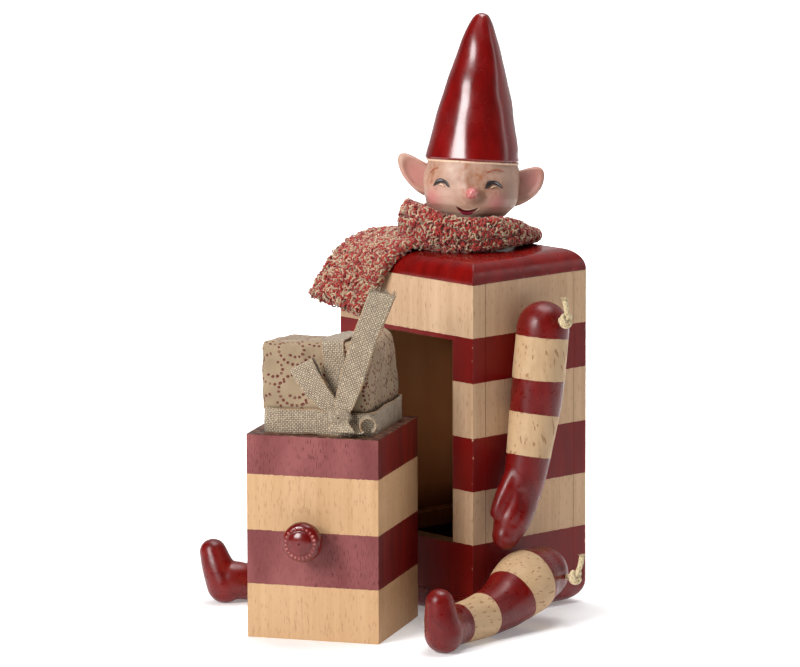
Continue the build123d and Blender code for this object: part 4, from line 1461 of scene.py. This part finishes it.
def build_collar():
    """The scarf's roll round the neck: a ground cloth, drawn dark as painted shade between the loops, covered with
    loops of yarn.
    """
    rows = 60
    around = 150
    points = [collar_point(2 * math.pi * c / around, r / (rows - 1)) for r in range(rows) for c in range(around)]
    inner = []
    for point in points:
        flat = math.hypot(point[0], point[1])
        shift = 2.4 if point[2] < 180 else 1.4
        inner.append((point[0] * (1 - shift / flat), point[1] * (1 - shift / flat), point[2] * 0.94 + 177 * 0.06))
    size = len(points)
    faces = quads(rows, around, True)
    faces += [tuple(reversed(f)) for f in quads(rows, around, True, size)]
    last = (rows - 1) * around
    for c in range(around):
        d = (c + 1) % around
        faces.append((d, c, size + c, size + d))
        faces.append((last + c, last + d, size + last + d, size + last + c))
    cloth = made("scarf_wrap", points + inner, faces, GROUND_CLOTH_SHADE, "body_box", "boucle_yarn", COLLAR_PLACE)
    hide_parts("scarf_collar")
    rng = random.Random(41)
    reds = []
    creams = []
    for _ in range(5600):
        turn = rng.uniform(0, 2 * math.pi)
        lift = rng.uniform(0.03, 0.97)
        here = collar_point(turn, lift)
        on = collar_point(turn + 0.02, lift) - collar_point(turn - 0.02, lift)
        over = collar_point(turn, min(lift + 0.02, 1)) - collar_point(turn, max(lift - 0.02, 0))
        out = unit(np.cross(on, over))
        (reds if rng.random() < 0.62 else creams).append((here, out))
    red = yarn_loops("scarf_wrap_red", reds, YARN_RED, rng, COLLAR_PLACE)
    cream = yarn_loops("scarf_wrap_cream", creams, YARN_CREAM, rng, COLLAR_PLACE)


def strap_out(across, along):
    """The direction away from the toy at a point of the strap."""
    ahead = strap_point(across, min(along + 0.01, 1)) - strap_point(across, max(along - 0.01, 0))
    aside = strap_point(min(across + 0.02, 1), along) - strap_point(max(across - 0.02, 0), along)
    out = unit(np.cross(aside, ahead))
    return out if out[2] - out[1] > 0 else -out


def build_strap():
    """The scarf's hanging end: a ground cloth, drawn dark as painted shade between the loops, covered with loops of
    yarn.
    """
    rows = 70
    columns = 34
    half = 1.8
    shell = []
    for side in (1, -1):
        for r in range(rows):
            for c in range(columns):
                along = r / (rows - 1)
                across = c / (columns - 1)
                thin = math.sqrt(max(1 - abs(2 * across - 1) ** 6, 0.02))
                shell.append(strap_point(across, along) + strap_out(across, along) * side * half * thin)
    cloth = made("scarf_strap", shell, slab_faces(rows, columns), GROUND_CLOTH_SHADE, "body_box", "boucle_yarn")
    face_outward(cloth)
    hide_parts("scarf_end")
    rng = random.Random(77)
    reds = []
    creams = []
    for _ in range(4500):
        across = rng.random()
        along = rng.uniform(0.0, 1.0)
        here = strap_point(across, along)
        out = strap_out(across, along)
        kind = rng.random()
        if kind < 0.14:
            across = 0.0 if rng.random() < 0.5 else 1.0
            here = strap_point(across, along) + out * rng.uniform(-1.6, 1.8)
            out = np.array([1.0 if across else -1.0, 0, 0.0])
        elif kind < 0.2:
            here = strap_point(across, 1.0) + out * rng.uniform(-1.8, 1.8)
            out = np.array([0, -0.5, -0.86])
        elif kind < 0.3 and along > 0.6:
            here = here - out * 1.7
            out = -out
        else:
            here = here + out * 1.7
        (reds if rng.random() < 0.58 else creams).append((here, out))
    red = yarn_loops("scarf_strap_red", reds, YARN_RED, rng, None)
    cream = yarn_loops("scarf_strap_cream", creams, YARN_CREAM, rng, None)


build_collar()
build_strap()


# ---------------------------------------------------------------- floor, light and camera
def build_floor():
    """A wide pale floor."""
    far = 9.0
    mesh = bpy.data.meshes.new("floor")
    mesh.from_pydata([(-far, -far, 0), (far, -far, 0), (far, far, 0), (-far, far, 0)], [], [(0, 1, 2, 3)])
    paint = Paint("pale_floor", Specular_IOR_Level=0.1, Emission_Strength=FLOOR_GLOW)
    paint.shader.inputs["Emission Color"].default_value = (1, 1, 1, 1)
    mottle = paint.mix(paint.noise((3, 3, 3), 2.0), (0.9, 0.9, 0.9, 1), (0.93, 0.93, 0.93, 1))
    mesh.materials.append(paint.finish(mottle, 0.8))
    floor = bpy.data.objects.new("floor", mesh)
    bpy.context.scene.collection.objects.link(floor)


def direction(azimuth, elevation):
    """From the toy towards a light or camera: azimuth 0 is in front and 90 to the right."""
    a, e = math.radians(azimuth), math.radians(elevation)
    return Vector((math.sin(a) * math.cos(e), -math.cos(a) * math.cos(e), math.sin(e)))


def softbox(name, azimuth, elevation, distance, size, power, aim=(0.0, 0.0, 0.12), tilt=None, spread=180.0):
    """A rectangular studio light that faces the toy, or straight down with tilt -90."""
    light = bpy.data.lights.new(name, "AREA")
    light.shape = "RECTANGLE"
    light.size, light.size_y = size
    light.energy = power
    lamp = bpy.data.objects.new(name, light)
    lamp.location = Vector(aim) + direction(azimuth, elevation) * distance
    light.spread = math.radians(spread)
    if tilt is None:
        lamp.rotation_euler = direction(azimuth, elevation).to_track_quat("Z", "Y").to_euler()
    bpy.context.scene.collection.objects.link(lamp)


def build_world():
    """A soft studio surround, brighter behind the toy than in front of it."""
    world = bpy.data.worlds.new("studio")
    bpy.context.scene.world = world
    world.use_nodes = True
    tree = world.node_tree
    ground = tree.nodes["Background"]
    coords = tree.nodes.new("ShaderNodeTexCoord")
    dot = tree.nodes.new("ShaderNodeVectorMath")
    dot.operation = "DOT_PRODUCT"
    dot.inputs[1].default_value = direction(BACK_AZIMUTH, 8)
    span = tree.nodes.new("ShaderNodeMapRange")
    span.inputs["From Min"].default_value = 0.1
    span.inputs["From Max"].default_value = 0.9
    span.inputs["To Min"].default_value = WORLD_FRONT
    span.inputs["To Max"].default_value = WORLD_BACK
    tree.links.new(coords.outputs["Generated"], dot.inputs[0])
    tree.links.new(dot.outputs["Value"], span.inputs["Value"])
    tree.links.new(span.outputs[0], ground.inputs["Color"])


CAMERA_AZIMUTH = 47.61
CAMERA_ELEVATION = 9.40
CAMERA_ROLL = -0.17
CAMERA_DISTANCE = 2.553
CAMERA_LENS = 245.24
CAMERA_SHIFT = (-0.02941, 0.00621)
AIM_HEIGHT = 0.120


def build_camera():
    """A long lens in front and to the right, a little above the toy."""
    back = direction(CAMERA_AZIMUTH, CAMERA_ELEVATION)
    right = Vector((math.cos(math.radians(CAMERA_AZIMUTH)), math.sin(math.radians(CAMERA_AZIMUTH)), 0))
    up = back.cross(right)
    target = Vector((0, 0, AIM_HEIGHT)) + right * CAMERA_SHIFT[0] + up * CAMERA_SHIFT[1]
    turn = Matrix((right, up, back)).transposed().to_4x4() @ Matrix.Rotation(math.radians(CAMERA_ROLL), 4, "Z")
    lens = bpy.data.cameras.new("camera")
    lens.lens = CAMERA_LENS
    lens.sensor_width = 36.0
    lens.clip_end = 50.0
    camera = bpy.data.objects.new("camera", lens)
    camera.matrix_world = Matrix.Translation(target + back * CAMERA_DISTANCE) @ turn
    bpy.context.scene.collection.objects.link(camera)
    bpy.context.scene.camera = camera


FLOOR_GLOW = 0.2
BACK_AZIMUTH = 205
WORLD_FRONT = 0.03
WORLD_BACK = 0.62
build_floor()
build_world()
softbox("key", 2, 27, 2.2, (0.85, 1.1), 48)
softbox("overhead", 20, 78, 2.4, (1.6, 1.6), 6)
softbox("rim", 139, 18, 2.2, (0.3, 1.4), 2.4)
softbox("wash", 227, 43, 2.3, (3.2, 2.4), 40, (0.0, 0.0, 0.0), -90.0, 75.0)
build_camera()
bpy.context.scene.view_settings.view_transform = "Standard"
